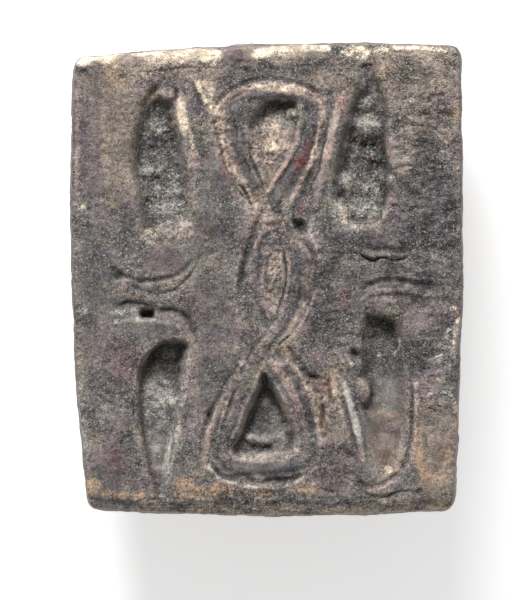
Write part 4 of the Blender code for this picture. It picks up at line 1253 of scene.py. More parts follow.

# %% Dark dirt and painted shade, and cream wear and painted highlight
# The dark stain is partly dirt, on the top band and in pits, and partly painted shade: along the grooves, in
# the tops of the hollows and on the lower and right edges.
STAINS["dark"] = (
    Patch(-93, 88, 3.4, 2.2, 0.8), Patch(-15, 92.6, 7, 4, 0.6), Patch(-31.6, 91.4, 3, 2, 0.45, 20),
    Patch(-64.4, 92, 3.4, 1.8, 0.5), Patch(22, 93, 4, 2, 0.3), Patch(61, 93.6, 2.4, 1.2, 0.55),
    Patch(34.6, 95.6, 2.6, 2.6, 0.75), Patch(70, 95.5, 6, 1.4, 0.5), Patch(-75, 2.4, 4, 2.6, 0.6),
    Patch(9, 70.5, 7, 2.2, 0.15, -10), Patch(0, -44, 4, 5, 0.6), Patch(-50, -29.5, 9, 4, 0.36),
    Patch(57, -18.6, 9, 3.6, 0.3), Patch(63, -90, 9, 1.3, 0.6, 4), Patch(4, 27, 4.4, 2, 0.5),
    Patch(-12, 74, 3, 3, 0.35, -30), Patch(-10.4, 71.4, 4, 4, 0.7), Patch(16.4, 22.4, 4.4, 3.8, 0.95),
    Patch(76, -89, 4, 1.4, 0.6), Patch(-14, -82.2, 8, 1.8, 0.8), Patch(8, -83.2, 8, 1.5, 0.75),
    Patch(49, 56.6, 6, 2.4, 0.6), Patch(19, -37.6, 3, 2.2, 0.34, -40), Patch(31.6, -46.4, 1.8, 3.4, 0.3),
    Patch(6, -31, 1.6, 2.4, 0.4, 30), Patch(51, 51, 9, 5.4, 0.5), Patch(48, 44.6, 5, 3.6, 0.6),
    Patch(56, 16.6, 18, 3, 0.36), Patch(33.4, 38, 1.6, 5, 0.6), Patch(63, 38, 1.2, 5, 0.4),
    Patch(-28.5, -56, 1.6, 4, 0.6, -14), Patch(11, -20, 2.4, 5, 0.4, -30),
    Streak(((-22.5, 76), (-15.4, 80.6), (-8, 83.2), (0, 84), (9, 83.4), (18, 81.4), (28, 75)), 0.06, 0.5),
    Streak(((39, 92.6), (50, 92.4), (59, 92.2)), 0.08, 0.45),
    Streak(((-85, -92), (-60, -93.6), (-20, -93), (20, -93), (50, -93.6)), 0.1, 0.6),
    Streak(((96, -25), (96, -36), (95.5, -48)), 0.12, 0.5),
    Streak(((-6, 18), (-9.6, 11.7), (-12.1, 3.3), (-12.9, -0.4)), 0.1, 0.75),
    Streak(((73.4, -49), (73, -60), (71, -73)), 0.05, 0.45),
    Streak(((67.6, -18), (70.4, -24), (70.6, -33)), 0.12, 0.4),
)
# Cream is partly wear and partly painted highlight: on the top edge, which faces the light, on the crest of
# the ribbon's top bar and on the lit rim beside the upper left leaf; most small patches are pale crust and
# crystals.
STAINS["cream"] = (
    Patch(-92.5, 91.6, 4.8, 2.6, 0.9, 14), Patch(-79, 93.4, 10, 1.8, 0.7, 6),
    Patch(-60, 95, 12, 2, 0.75, 4), Patch(-50, 92.6, 14, 3, 0.52, 2), Patch(-40, 94.6, 8, 2.6, 0.8),
    Patch(-28.6, 94, 5.6, 3, 1.0), Patch(-27, 90.4, 3, 1.4, 0.5), Patch(-2.4, 94.4, 4.8, 2.2, 1.0),
    Patch(12, 93.4, 9, 1.2, 0.5), Patch(45, 95.2, 7.4, 2.6, 1.0), Patch(57.6, 95.6, 4.4, 1.8, 0.75),
    Patch(-1, 80, 5, 1.4, 0.72), Patch(-30.6, 80.4, 5.6, 3, 0.46, -6), Patch(-29.4, 76, 3, 3, 0.55),
    Patch(-29, 71.8, 1.4, 3, 0.5), Patch(-42.2, 69, 2.8, 8, 0.6, 8), Patch(-37.4, 58, 1.3, 4, 0.36, 8),
    Patch(9, -72.4, 4, 2, 0.1), Patch(38.6, 27, 4.6, 4.4, 0.34, 25), Patch(1.6, 54.6, 5, 4, 0.46),
    Patch(61, -79.4, 2, 2, 0.9), Patch(-92, 30, 2.2, 1.2, 0.5), Patch(56.5, -31.6, 2.4, 0.7, 0.85),
    Patch(42.6, -35.4, 1, 1.4, 0.9, 30), Patch(94, -26, 1, 2, 0.6), Patch(93.6, -12, 1.4, 1.2, 0.7),
    Patch(96.4, -17.6, 1.2, 2.6, 0.8), Patch(91.6, -21, 1.4, 1.1, 0.7), Patch(90, -14, 1, 0.8, 0.6),
    Patch(94.6, -23.4, 1, 1.2, 0.6), Patch(87, -31.4, 2.4, 0.8, 0.5, 20), Patch(-60, 85.5, 4, 1, 0.4),
    Patch(-78.4, 89, 4, 2.4, 0.44, -10), Patch(-59, 18, 6, 3.4, 0.4), Patch(-42, 21, 6, 4.4, 0.3),
    Streak(((3, 96.2), (14, 96.6), (30, 96.7)), 0.12, 1.0),
    Streak(((64, 96.6), (76, 97), (90, 95.6)), 0.08, 0.65),
    Streak(((-12, 79), (-4, 79.8), (6, 80), (18, 78.6)), 0.12, 0.5),
)
print(f"{len(STAINS['dark'])} dark and {len(STAINS['cream'])} cream places")


# %% Masks on the mesh
# The stains of the face fade out between the first two heights. Below them each stain goes on by chance:
# its noise has features of the third size, it sets in between the last two values, and the shares say how
# strong it gets.
TOP_FROM = 5.6
TOP_FULL = 6.4
DRIFT_SIZE = 2.2
DRIFT_FROM = 0.15
DRIFT_FULL = 0.65
SIDE_SHARES = {
    "tan": 0.7,
    "slate": 0.6,
    "purple": 0.5,
    "red": 0.2,
    "ochre": 0.5,
    "pink": 0.35,
    "ash": 0.3,
    "dark": 0.45,
    "cream": 0.15,
}
# How high a crest or how deep a crease or recess is when it counts in full, in millimetres. Fine crests
# get painted highlight, fine creases painted shade, and recesses dirt and painted shade; worn crests are
# wear.
RIDGE_RISE = 0.02
CREASE_FALL = 0.045
WORN_RISE = 0.04
RECESS_DIRT_AND_SHADE_FALL = 0.1


def set_mask(data, name, values):
    """Stores one number for each point of a mesh."""
    data.attributes.new(name, "FLOAT", "POINT").data.foreach_set("value", np.clip(values, 0, 1))


on_top = ramped(points[:, 2], TOP_FROM, TOP_FULL)
border = BORDER_SHAKE * noise_at(points, BORDER_SIZE, 3, 31.0)
for index, (name, items) in enumerate(STAINS.items()):
    mask = area_mask(items, points[:, :2], border) * on_top
    drift = noise_at(points, DRIFT_SIZE, 3, 50.0 + 7 * index)
    below_face = ramped(drift, DRIFT_FROM, DRIFT_FULL) * SIDE_SHARES[name]
    set_mask(stone_data, name, np.maximum(mask, below_face * (1 - on_top)))
    print(f"{name}: {100 * (mask[:len(PLACES)] > 0.5).mean():.1f} % of the face")
FACE_MASKS = {
    "crust": crust,
    "caked": caked,
    "smooth": fine_zone,
    "seams": seams,
    "bedded": bedded,
    # Painted highlight on fine crests and painted shade in fine creases
    "ridges": fine_crest / RIDGE_RISE,
    "creases": -fine_crest / CREASE_FALL,
    "worn": crest / WORN_RISE,
    # Dirt and painted shade in recesses, from how far a place lies below its surroundings
    "recess_dirt_and_shade": -crest / RECESS_DIRT_AND_SHADE_FALL,
}
for name, values in FACE_MASKS.items():
    set_mask(stone_data, name, np.concatenate((values, np.zeros(len(points) - len(values)))))
print(f"the mesh carries {len(STAINS) + len(FACE_MASKS)} masks")

# %% [markdown]
# ## The string hole
#
# A seal of this kind was worn on a cord that ran through it from end to end. The hole shows only from the
# sides. A Boolean with a turned cutter is the plain way, and the cutter's own ripples leave the rings of
# the drill. The mouths are flared, as the cord wears them.

# %% Shape of the string hole
HOLE_DIAMETER = 1.8
HOLE_HEIGHT = 3.3
MOUTH_DIAMETER = 2.5
MOUTH_DEPTH = 0.7
HOLE_SIDES = 48
HOLE_STATIONS = 70
CUT_PAST = 1.0
# The drill's rings: how deep they are, and how many radians of a wave go by in a millimetre
RING_DEPTH = 0.02
RING_TURN = 9
# How far the hole's wall wavers, as a share of its radius, and over what size
HOLE_WOBBLE = 0.02
WOBBLE_SIZE = 0.5


def hole_radius(along):
    """The hole's radius at a place along the stone, with its flared mouths and faint drill rings."""
    into_mouth = ramped(abs(along), LENGTH / 2 - MOUTH_DEPTH, LENGTH / 2)
    plain = HOLE_DIAMETER / 2 + (MOUTH_DIAMETER - HOLE_DIAMETER) / 2 * into_mouth**1.5
    return plain - RING_DEPTH * (1 - into_mouth) * (0.5 + 0.5 * math.sin(along * RING_TURN))


def hole_cutter():
    """The cutter of the string hole, in millimetres."""
    mesh = bmesh.new()
    rings = []
    for along in np.linspace(-LENGTH / 2 - CUT_PAST, LENGTH / 2 + CUT_PAST, HOLE_STATIONS):
        radius = hole_radius(along)
        angles = np.arange(HOLE_SIDES) * 2 * math.pi / HOLE_SIDES
        ring = np.column_stack(
            (radius * np.cos(angles), np.full(HOLE_SIDES, along), HOLE_HEIGHT + radius * np.sin(angles))
        )
        wobble = noise_at(ring, WOBBLE_SIZE, 3, 70.0)[:, None] * HOLE_WOBBLE
        centre = np.array((0, along, HOLE_HEIGHT))
        ring = centre + (ring - centre) * (1 - np.abs(wobble))
        rings.append([mesh.verts.new(point) for point in ring])
    for first, second in zip(rings, rings[1:]):
        for index in range(HOLE_SIDES):
            after = (index + 1) % HOLE_SIDES
            mesh.faces.new((first[index], first[after], second[after], second[index]))
    mesh.faces.new(rings[0])
    mesh.faces.new(list(reversed(rings[-1])))
    bmesh.ops.recalc_face_normals(mesh, faces=mesh.faces)
    data = bpy.data.meshes.new("string_hole_cutter")
    mesh.to_mesh(data)
    mesh.free()
    return data


print(f"the hole is {2 * hole_radius(0):.2f} mm wide inside")
print(f"and {2 * hole_radius(LENGTH / 2):.2f} mm at its mouths")


# %% The bored stone
def add_object(name, data):
    """Makes an object of a mesh and puts it in the scene."""
    item = bpy.data.objects.new(name, data)
    bpy.context.scene.collection.objects.link(item)
    return item


def baked(item):
    """The object's mesh with its modifiers worked in, as plain data."""
    bpy.context.view_layer.update()
    seen = item.evaluated_get(bpy.context.evaluated_depsgraph_get())
    return bpy.data.meshes.new_from_object(seen)


def bored_stone(data):
    """The stone with its hole, moved into metres."""
    stone = add_object("carved_stone", data)
    cutter = add_object("string_hole_cutter", hole_cutter())
    cut_hole = stone.modifiers.new("string hole", "BOOLEAN")
    cut_hole.operation = "DIFFERENCE"
    cut_hole.solver = "EXACT"
    cut_hole.object = cutter
    solid = baked(stone)
    stone.modifiers.clear()
    bpy.data.objects.remove(cutter, do_unlink=True)
    solid.transform(((MM, 0, 0, 0), (0, MM, 0, 0), (0, 0, MM, 0), (0, 0, 0, 1)))
    stone.data = solid
    solid.shade_smooth()
    return stone


stone = bored_stone(stone_data)
print(f"the bored stone has {len(stone.data.polygons)} faces")

# %% [markdown]
# ## Helpers for materials
#
# Every finish below is made of nodes. A few short helpers keep the recipes readable: one adds a node with
# its values, some do arithmetic or make noise, two mix colours or numbers, and two more start a node group
# with named sockets and place it in a material.

# %% Node helpers
def add_node(tree, kind, values=(), **settings):
    """Adds a node, sets its properties and its inputs, and returns it."""
    node = tree.nodes.new(kind)
    for name, value in settings.items():
        setattr(node, name, value)
    for name, value in dict(values).items():
        if isinstance(value, bpy.types.NodeSocket):
            tree.links.new(value, node.inputs[name])
        else:
            node.inputs[name].default_value = value
    return node


def calculate(tree, operation, first, second):
    """One step of arithmetic."""
    return add_node(tree, "ShaderNodeMath", {0: first, 1: second}, operation=operation).outputs[0]


def plus(tree, first, second):
    """The sum of two numbers."""
    return calculate(tree, "ADD", first, second)


def minus(tree, first, second):
    """The first number less the second."""
    return calculate(tree, "SUBTRACT", first, second)


def times(tree, first, second):
    """The product of two numbers."""
    return calculate(tree, "MULTIPLY", first, second)


def ramp(tree, value, start, end):
    """0 up to a start, 1 from an end on, and smooth between."""
    values = {"Value": value, "From Min": start, "From Max": end}
    return add_node(tree, "ShaderNodeMapRange", values, interpolation_type="SMOOTHSTEP").outputs["Result"]


def blend_colours(tree, share, first, second, blend="MIX"):
    """Mixes the second colour into the first."""
    values = {0: share, 6: first, 7: second}
    return add_node(tree, "ShaderNodeMix", values, data_type="RGBA", blend_type=blend).outputs[2]


def mix_numbers(tree, share, first, second):
    """Mixes the second number into the first."""
    values = {0: share, 2: first, 3: second}
    return add_node(tree, "ShaderNodeMix", values, data_type="FLOAT").outputs[0]


def scaled_noise(tree, place, scale, detail, roughness):
    """Noise at a scale that may itself come from a socket."""
    values = {"Vector": place, "Scale": scale, "Detail": detail, "Roughness": roughness}
    return add_node(tree, "ShaderNodeTexNoise", values).outputs["Fac"]


def noise_node(tree, place, size, detail=3.0, roughness=0.6):
    """Noise with features of a size in millimetres."""
    return scaled_noise(tree, place, 1 / size, detail, roughness)


# %% Group helpers
FLOAT = "NodeSocketFloat"
VECTOR = "NodeSocketVector"
COLOUR = "NodeSocketColor"


def new_group(name, inputs, outputs):
    """A shader node group with named sockets; returns it with its two end nodes."""
    group = bpy.data.node_groups.new(name, "ShaderNodeTree")
    for label, kind, value in inputs:
        socket = group.interface.new_socket(label, in_out="INPUT", socket_type=kind)
        if value is not None:
            socket.default_value = value
    for label, kind in outputs:
        group.interface.new_socket(label, in_out="OUTPUT", socket_type=kind)
    return group, group.nodes.new("NodeGroupInput"), group.nodes.new("NodeGroupOutput")


def place_group(tree, group, values):
    """Puts a group into a material with its own values."""
    return add_node(tree, "ShaderNodeGroup", values, node_tree=group)


print("a group's sockets are of these kinds:", FLOAT, VECTOR, COLOUR)

# %% [markdown]
# ## The grain of the stone
#
# Close to, the stone is a fabric of pale and dark grains less than a tenth of a millimetre wide, and the
# crust in its cuts is coarser and whiter. Both are one effect with other numbers, so the grain is a group:
# it puts out a tone that lightens or darkens a colour, masks of pale and dark grains, and a height.

# %% Grain group
COOL_TINT = (0.97, 0.99, 1.025, 1)
WARM_TINT = (1.03, 1.0, 0.955, 1)
# How much each layer of the grain changes the tone, and how dark the tone may get
FINE_WEIGHT = 2.3
COARSE_WEIGHT = 1.5
BROAD_WEIGHT = 2.5
CELL_WEIGHT = 0.7
BED_WEIGHT = 2.6
DARKEST_TONE = 0.22
# The coarse layer against the fine one, and the beds, which are drawn out along the face
COARSE_SHARE = 0.28
BED_SCALE = (0.35, 1.0, 0.5)
# How much each layer adds to the height
FINE_HEIGHT = 0.7
COARSE_HEIGHT = 1.2
BED_HEIGHT = 2.5


def grain_tone(group, given, layers, beds):
    """How much lighter or darker than its mean the grain is."""
    mixed = 0.0
    for value, weight in layers:
        mixed = plus(group, times(group, minus(group, value, 0.5), weight), mixed)
    mixed = plus(group, mixed, times(group, beds, BED_WEIGHT))
    return times(group, mixed, given.outputs["Contrast"])


def grain_shade(group, mixed):
    """The tone as a grey that leans to warm where it is light and to cool where it is dark."""
    tone = calculate(group, "MAXIMUM", plus(group, mixed, 1.0), DARKEST_TONE)
    tint = blend_colours(group, ramp(group, mixed, -0.7, 0.7), COOL_TINT, WARM_TINT)
    grey = add_node(group, "ShaderNodeCombineColor", {"Red": tone, "Green": tone, "Blue": tone}).outputs[0]
    return blend_colours(group, 1.0, grey, tint, "MULTIPLY")


def mineral_grain():
    """The node group that gives both materials their grain."""
    group, given, result = new_group(
        "Mineral grain",
        (
            ("Place", VECTOR, None),
            ("Grain", FLOAT, 0.09),
            ("Contrast", FLOAT, 1.0),
            ("Sparkle", FLOAT, 0.5),
            ("Bedding", FLOAT, 0.3),
        ),
        (("Shade", COLOUR), ("Pale", FLOAT), ("Dark", FLOAT), ("Height", FLOAT)),
    )
    place = given.outputs["Place"]
    fineness = calculate(group, "DIVIDE", 1.0, given.outputs["Grain"])
    fine = scaled_noise(group, place, fineness, 2.0, 0.7)
    coarse = scaled_noise(group, place, times(group, fineness, COARSE_SHARE), 3.0, 0.6)
    broad = scaled_noise(group, place, 1.0, 4.0, 0.65)
    level = add_node(group, "ShaderNodeMapping", {"Vector": place, "Scale": BED_SCALE}).outputs["Vector"]
    beds = minus(group, scaled_noise(group, level, 4.0, 4.0, 0.7), 0.5)
    beds = times(group, beds, given.outputs["Bedding"])
    cells = add_node(group, "ShaderNodeTexVoronoi", {"Vector": place, "Scale": fineness})
    cell_tone = add_node(group, "ShaderNodeSeparateColor", {"Color": cells.outputs["Color"]}).outputs["Red"]
    layers = ((fine, FINE_WEIGHT), (coarse, COARSE_WEIGHT), (broad, BROAD_WEIGHT), (cell_tone, CELL_WEIGHT))
    shade = grain_shade(group, grain_tone(group, given, layers, beds))
    rare = minus(group, 1.0, times(group, given.outputs["Sparkle"], 0.16))
    pale = ramp(group, cell_tone, rare, plus(group, rare, 0.04))
    pale = times(group, pale, ramp(group, fine, 0.46, 0.58))
    dark = times(group, ramp(group, cell_tone, 0.16, 0.08), ramp(group, coarse, 0.55, 0.42))
    height = plus(group, times(group, fine, FINE_HEIGHT), times(group, coarse, COARSE_HEIGHT))
    height = plus(group, height, times(group, beds, BED_HEIGHT))
    for label, value in (("Shade", shade), ("Pale", pale), ("Dark", dark), ("Height", height)):
        group.links.new(value, result.inputs[label])
    return group


GRAIN = mineral_grain()
print("the grain group has", len(GRAIN.nodes), "nodes")


# %% Group for ragged masks
def ragged_mask():
    """The node group that breaks up a stain and its border."""
    group, given, result = new_group(
        "Ragged mask",
        (("Mask", FLOAT, 0.0), ("Noise", FLOAT, 0.5), ("Ragged", FLOAT, 0.8), ("Soft", FLOAT, 0.35)),
        (("Mask", FLOAT),),
    )
    shift = minus(group, given.outputs["Noise"], 0.5)
    shift = times(group, shift, given.outputs["Ragged"])
    present = ramp(group, given.outputs["Mask"], 0.02, 0.25)
    level = plus(group, given.outputs["Mask"], times(group, shift, present))
    upper = plus(group, 0.5, given.outputs["Soft"])
    lower = minus(group, 0.5, given.outputs["Soft"])
    group.links.new(ramp(group, level, lower, upper), result.inputs["Mask"])
    return group


RAGGED = ragged_mask()
print("the group for ragged masks has", len(RAGGED.nodes), "nodes")

# %% [markdown]
# ## The weathered stone
#
# The stone itself is a dull grey-brown that leans to mauve in places and to olive in others. Stains lie on
# it in the order in which they came: mineral patches first, then crust, then pale wear on top, and painted
# highlight on fine crests and painted shade in creases and recesses are added as well. It has no polish
# left, so its gloss is low and varies a little from place to place.

# %% Colours of the stone
STONE_GREY = (0.142, 0.134, 0.131, 1)
STONE_MAUVE = (0.168, 0.138, 0.141, 1)
STONE_OLIVE = (0.205, 0.177, 0.144, 1)
CRUST = (0.2, 0.19, 0.178, 1)
WORN = (0.3, 0.25, 0.21, 1)
# Recesses darken towards this, partly as dirt and partly as painted shade
RECESS_DIRT_AND_SHADE = (0.07, 0.065, 0.062, 1)
SEAM = (0.045, 0.037, 0.034, 1)
# Painted highlight on fine crests and painted shade in fine creases, multiplied into the colour
PAINTED_CREST_HIGHLIGHT = (1.3, 1.27, 1.24, 1)
PAINTED_CREASE_SHADE = (0.66, 0.64, 0.62, 1)
NO_SHADE = (1, 1, 1, 1)
PALE_GRAIN = (0.6, 0.58, 0.53, 1)
DARK_GRAIN = (0.03, 0.028, 0.028, 1)
# Each stain's two colours, how ragged and how soft its border is, and how much it covers at most
Look = namedtuple("Look", "mask first second ragged soft most")
LOOKS = (
    Look("tan", (0.3, 0.242, 0.186, 1), (0.24, 0.2, 0.168, 1), 1.2, 0.5, 0.8),
    Look("slate", (0.062, 0.062, 0.066, 1), (0.1, 0.095, 0.098, 1), 1.2, 0.45, 0.85),
    Look("purple", (0.115, 0.07, 0.083, 1), (0.155, 0.112, 0.122, 1), 1.4, 0.45, 0.75),
    Look("caked", (0.46, 0.365, 0.305, 1), (0.31, 0.245, 0.212, 1), 1.7, 0.45, 0.88),
    Look("red", (0.2, 0.05, 0.055, 1), (0.15, 0.08, 0.085, 1), 2.0, 0.5, 0.8),
    Look("ochre", (0.46, 0.31, 0.2, 1), (0.33, 0.235, 0.168, 1), 1.2, 0.5, 0.9),
    Look("pink", (0.45, 0.335, 0.295, 1), (0.33, 0.25, 0.232, 1), 2.0, 0.5, 0.88),
    Look("ash", (0.54, 0.52, 0.475, 1), (0.35, 0.335, 0.31, 1), 2.2, 0.5, 0.8),
    # The dark stain is partly dirt and partly painted shade in grooves, hollows and on the lower edge
    Look("dark", (0.035, 0.034, 0.036, 1), (0.06, 0.056, 0.056, 1), 1.1, 0.45, 0.85),
    # Cream is partly wear and partly painted highlight
    Look("cream", (0.92, 0.78, 0.61, 1), (0.56, 0.455, 0.345, 1), 2.2, 0.48, 1.0),
)


print(f"{len(LOOKS)} stains lie over one another")


# %% Material helpers
def start_material(name):
    """A material with nodes; returns it, its tree, its shader and places in millimetres."""
    material = bpy.data.materials.new(name)
    material.use_nodes = True
    tree = material.node_tree
    place = add_node(tree, "ShaderNodeTexCoord").outputs["Object"]
    place = add_node(tree, "ShaderNodeMapping", {"Vector": place, "Scale": (1 / MM,) * 3}).outputs["Vector"]
    return material, tree, tree.nodes["Principled BSDF"], place


def read_mask(tree, name):
    """One of the masks that the mesh carries."""
    return add_node(tree, "ShaderNodeAttribute", attribute_name=name).outputs["Fac"]


def ragged_share(tree, name, border, ragged, soft):
    """One of the mesh's masks with its border broken up."""
    values = {"Mask": read_mask(tree, name), "Noise": border, "Ragged": ragged, "Soft": soft}
    return place_group(tree, RAGGED, values).outputs["Mask"]


def add_bump(tree, shader, height, strength, distance):
    """Lets a height tilt the shader's normal; the distance that it stands for is in millimetres."""
    values = {"Height": height, "Strength": strength, "Distance": distance * MM}
    bump = add_node(tree, "ShaderNodeBump", values)
    tree.links.new(bump.outputs["Normal"], shader.inputs["Normal"])


print("the stone's masks are read by name, such as", LOOKS[0].mask)

# %% The stone's finish
# How much the worn crests, the dirt and painted shade in recesses, the seams, dark grains and smooth places
# count at most
MOST_WORN = 0.45
MOST_RECESS_DIRT_AND_SHADE = 0.6
MOST_SEAM = 0.65
MOST_DARK = 0.4
MOST_CALM = 0.6
# Pale grains: how much they count, how much less on smooth stone, and how unevenly they are strewn
MOST_PALE = 0.5
PALE_LOSS = 0.6
STREWN_LEAST = 0.35
STREWN_SWING = 1.1
STONE_GRAIN = {"Grain": 0.045, "Sparkle": 1.0}
CRUST_GRAIN = {"Grain": 0.055, "Contrast": 1.5, "Sparkle": 1.3, "Bedding": 0.1}
STONE_BUMP = 0.06


def stone_base(tree, place, border, crust_share):
    """The stone's own colour with its crust, worn crests, and dirt and painted shade in its recesses."""
    mauve = ramp(tree, noise_node(tree, place, 1.3), 0.4, 0.6)
    colour = blend_colours(tree, mauve, STONE_GREY, STONE_MAUVE)
    olive = ramp(tree, noise_node(tree, place, 0.8, 4.0), 0.5, 0.66)
    colour = blend_colours(tree, olive, colour, STONE_OLIVE)
    colour = blend_colours(tree, crust_share, colour, CRUST)
    worn_share = times(tree, read_mask(tree, "worn"), ramp(tree, border, 0.35, 0.6))
    colour = blend_colours(tree, times(tree, worn_share, MOST_WORN), colour, WORN)
    # Recesses get dirt and painted shade
    return blend_colours(tree, times(tree, read_mask(tree, "recess_dirt_and_shade"), MOST_RECESS_DIRT_AND_SHADE), colour, RECESS_DIRT_AND_SHADE)


def stained(tree, place, border, colour):
    """The colour under all its stains, with dark seams, painted highlight on fine crests and painted shade
    in fine creases.
    """
    tint_share = ramp(tree, noise_node(tree, place, 0.45), 0.4, 0.6)
    for look in LOOKS:
        share = times(tree, ragged_share(tree, look.mask, border, look.ragged, look.soft), look.most)
        tint = blend_colours(tree, tint_share, look.first, look.second)
        colour = blend_colours(tree, share, colour, tint)
    colour = blend_colours(tree, times(tree, read_mask(tree, "seams"), MOST_SEAM), colour, SEAM)
    # Painted highlight on fine crests, then painted shade in fine creases
    colour = blend_colours(tree, read_mask(tree, "ridges"), colour, PAINTED_CREST_HIGHLIGHT, "MULTIPLY")
    return blend_colours(tree, read_mask(tree, "creases"), colour, PAINTED_CREASE_SHADE, "MULTIPLY")


def stone_grain(tree, place):
    """The grain of bare stone, with stronger contrast and beds where the mesh says so."""
    bedded_share = read_mask(tree, "bedded")
    bedding = plus(tree, times(tree, bedded_share, 0.7), 0.2)
    contrast = plus(tree, times(tree, bedded_share, 0.4), 1.28)
    values = {"Place": place, "Contrast": contrast, "Bedding": bedding, **STONE_GRAIN}
    return place_group(tree, GRAIN, values)


def strewn_pale(tree, place, pale, calm_share):
    """Pale grains, fewer on smooth stone and closer together in some places than in others."""
    pale = times(tree, pale, minus(tree, MOST_PALE, times(tree, calm_share, PALE_LOSS)))
    strewn = times(tree, ramp(tree, noise_node(tree, place, 1.5, 2.0), 0.42, 0.6), STREWN_SWING)
    return times(tree, pale, plus(tree, strewn, STREWN_LEAST))


def weathered_stone():
    """The finish of the stone."""
    material, tree, shader, place = start_material("weathered_stone_surface")
    border = noise_node(tree, place, 0.2, 5.0, 0.75)
    grain = stone_grain(tree, place)
    crust_grain = place_group(tree, GRAIN, {"Place": place, **CRUST_GRAIN})
    crust_share = ragged_share(tree, "crust", border, 0.7, 0.3)
    coarse_share = calculate(tree, "MAXIMUM", crust_share, read_mask(tree, "caked"))
    calm_share = times(tree, read_mask(tree, "smooth"), MOST_CALM)
    colour = stained(tree, place, border, stone_base(tree, place, border, crust_share))
    shade = blend_colours(tree, coarse_share, grain.outputs["Shade"], crust_grain.outputs["Shade"])
    shade = blend_colours(tree, calm_share, shade, NO_SHADE)
    colour = blend_colours(tree, 1.0, colour, shade, "MULTIPLY")
    pale = mix_numbers(tree, coarse_share, grain.outputs["Pale"], crust_grain.outputs["Pale"])
    colour = blend_colours(tree, strewn_pale(tree, place, pale, calm_share), colour, PALE_GRAIN)
    colour = blend_colours(tree, times(tree, grain.outputs["Dark"], MOST_DARK), colour, DARK_GRAIN)
    tree.links.new(colour, shader.inputs["Base Color"])
    values = {"Value": border, "From Min": 0.3, "From Max": 0.7, "To Min": 0.6, "To Max": 0.9}
    dullness = add_node(tree, "ShaderNodeMapRange", values).outputs["Result"]
    tree.links.new(dullness, shader.inputs["Roughness"])
    height = mix_numbers(tree, coarse_share, grain.outputs["Height"], crust_grain.outputs["Height"])
    height = times(tree, height, minus(tree, 1.0, calm_share))
    add_bump(tree, shader, height, 0.9, STONE_BUMP)
    return material


stone.data.materials.clear()
stone.data.materials.append(weathered_stone())
print("the stone's material has", len(stone.data.materials[0].node_tree.nodes), "nodes")

# %% [markdown]
# ## Crust in the cuts
#
# Sandy crust has stayed in the hollows and grooves. Its grains are big enough to throw shadows, so they are
# real shapes. Geometry Nodes scatter them: points on the faces, as dense as the crust mask says, and on
# each point a small rough grain of its own size and turn. The result is made a plain mesh, because the
# export knows no instances.

# %% Crust material
LOOSE_DARK = (0.12, 0.11, 0.1, 1)
LOOSE_PALE = (0.3, 0.28, 0.24, 1)
LOOSE_TAN = (0.27, 0.21, 0.17, 1)
LOOSE_DULLNESS = 0.85
LOOSE_GRAIN = {"Grain": 0.1, "Contrast": 1.0, "Sparkle": 1.5}
LOOSE_BUMP = 0.03
# The grains take the dark stain too, so in the cuts they carry its painted shade
LOOSE_STAINS = ("ash", "dark")


def crust_material():
    """The finish of the loose grains."""
    material, tree, shader, place = start_material("crust_grains_surface")
    grain = place_group(tree, GRAIN, {"Place": place, **LOOSE_GRAIN})
    tint = noise_node(tree, place, 0.13, 2.0)
    colour = blend_colours(tree, ramp(tree, tint, 0.42, 0.6), LOOSE_DARK, LOOSE_PALE)
    colour = blend_colours(tree, ramp(tree, noise_node(tree, place, 1.1), 0.5, 0.65), colour, LOOSE_TAN)
    for look in LOOKS:
        if look.mask in LOOSE_STAINS:
            share = ragged_share(tree, look.mask, tint, look.ragged, look.soft)
            colour = blend_colours(tree, share, colour, look.first)
    colour = blend_colours(tree, 1.0, colour, grain.outputs["Shade"], "MULTIPLY")
    tree.links.new(colour, shader.inputs["Base Color"])
    shader.inputs["Roughness"].default_value = LOOSE_DULLNESS
    add_bump(tree, shader, grain.outputs["Height"], 0.5, LOOSE_BUMP)
    return material


CRUST_MATERIAL = crust_material()
print("the grains' material has", len(CRUST_MATERIAL.node_tree.nodes), "nodes")

# %% Scatter the grains
GRAIN_COUNT_PER_MM2 = 55
GRAIN_SMALLEST = 0.02
GRAIN_LARGEST = 0.05
GRAIN_SEED = 7
GRAIN_STRETCH = ((0.7, 0.7, 0.45), (1.3, 1.2, 0.9))
WHOLE_TURN = (6.28, 6.28, 6.28)


def named_mask(tree, name):
    """One of the mesh's masks, in Geometry Nodes."""
    node = add_node(tree, "GeometryNodeInputNamedAttribute", {"Name": name}, data_type="FLOAT")
    return node.outputs["Attribute"]


def random_between(tree, lowest_value, highest_value):
    """A random vector for each grain."""
    values = {0: lowest_value, 1: highest_value}
    return add_node(tree, "FunctionNodeRandomValue", values, data_type="FLOAT_VECTOR").outputs[0]


def grain_density(tree, per_area):
    """How densely grains lie: where crust is thick, the ground fairly level and the stone not smooth."""
    upright = tree.nodes.new("GeometryNodeInputNormal").outputs[0]
    facing = add_node(tree, "ShaderNodeSeparateXYZ", {"Vector": upright})
    level = ramp(tree, facing.outputs["Z"], 0.35, 0.8)
    level = times(tree, level, minus(tree, 1.0, named_mask(tree, "smooth")))
    mask = named_mask(tree, "crust")
    return times(tree, times(tree, times(tree, mask, mask), level), per_area)


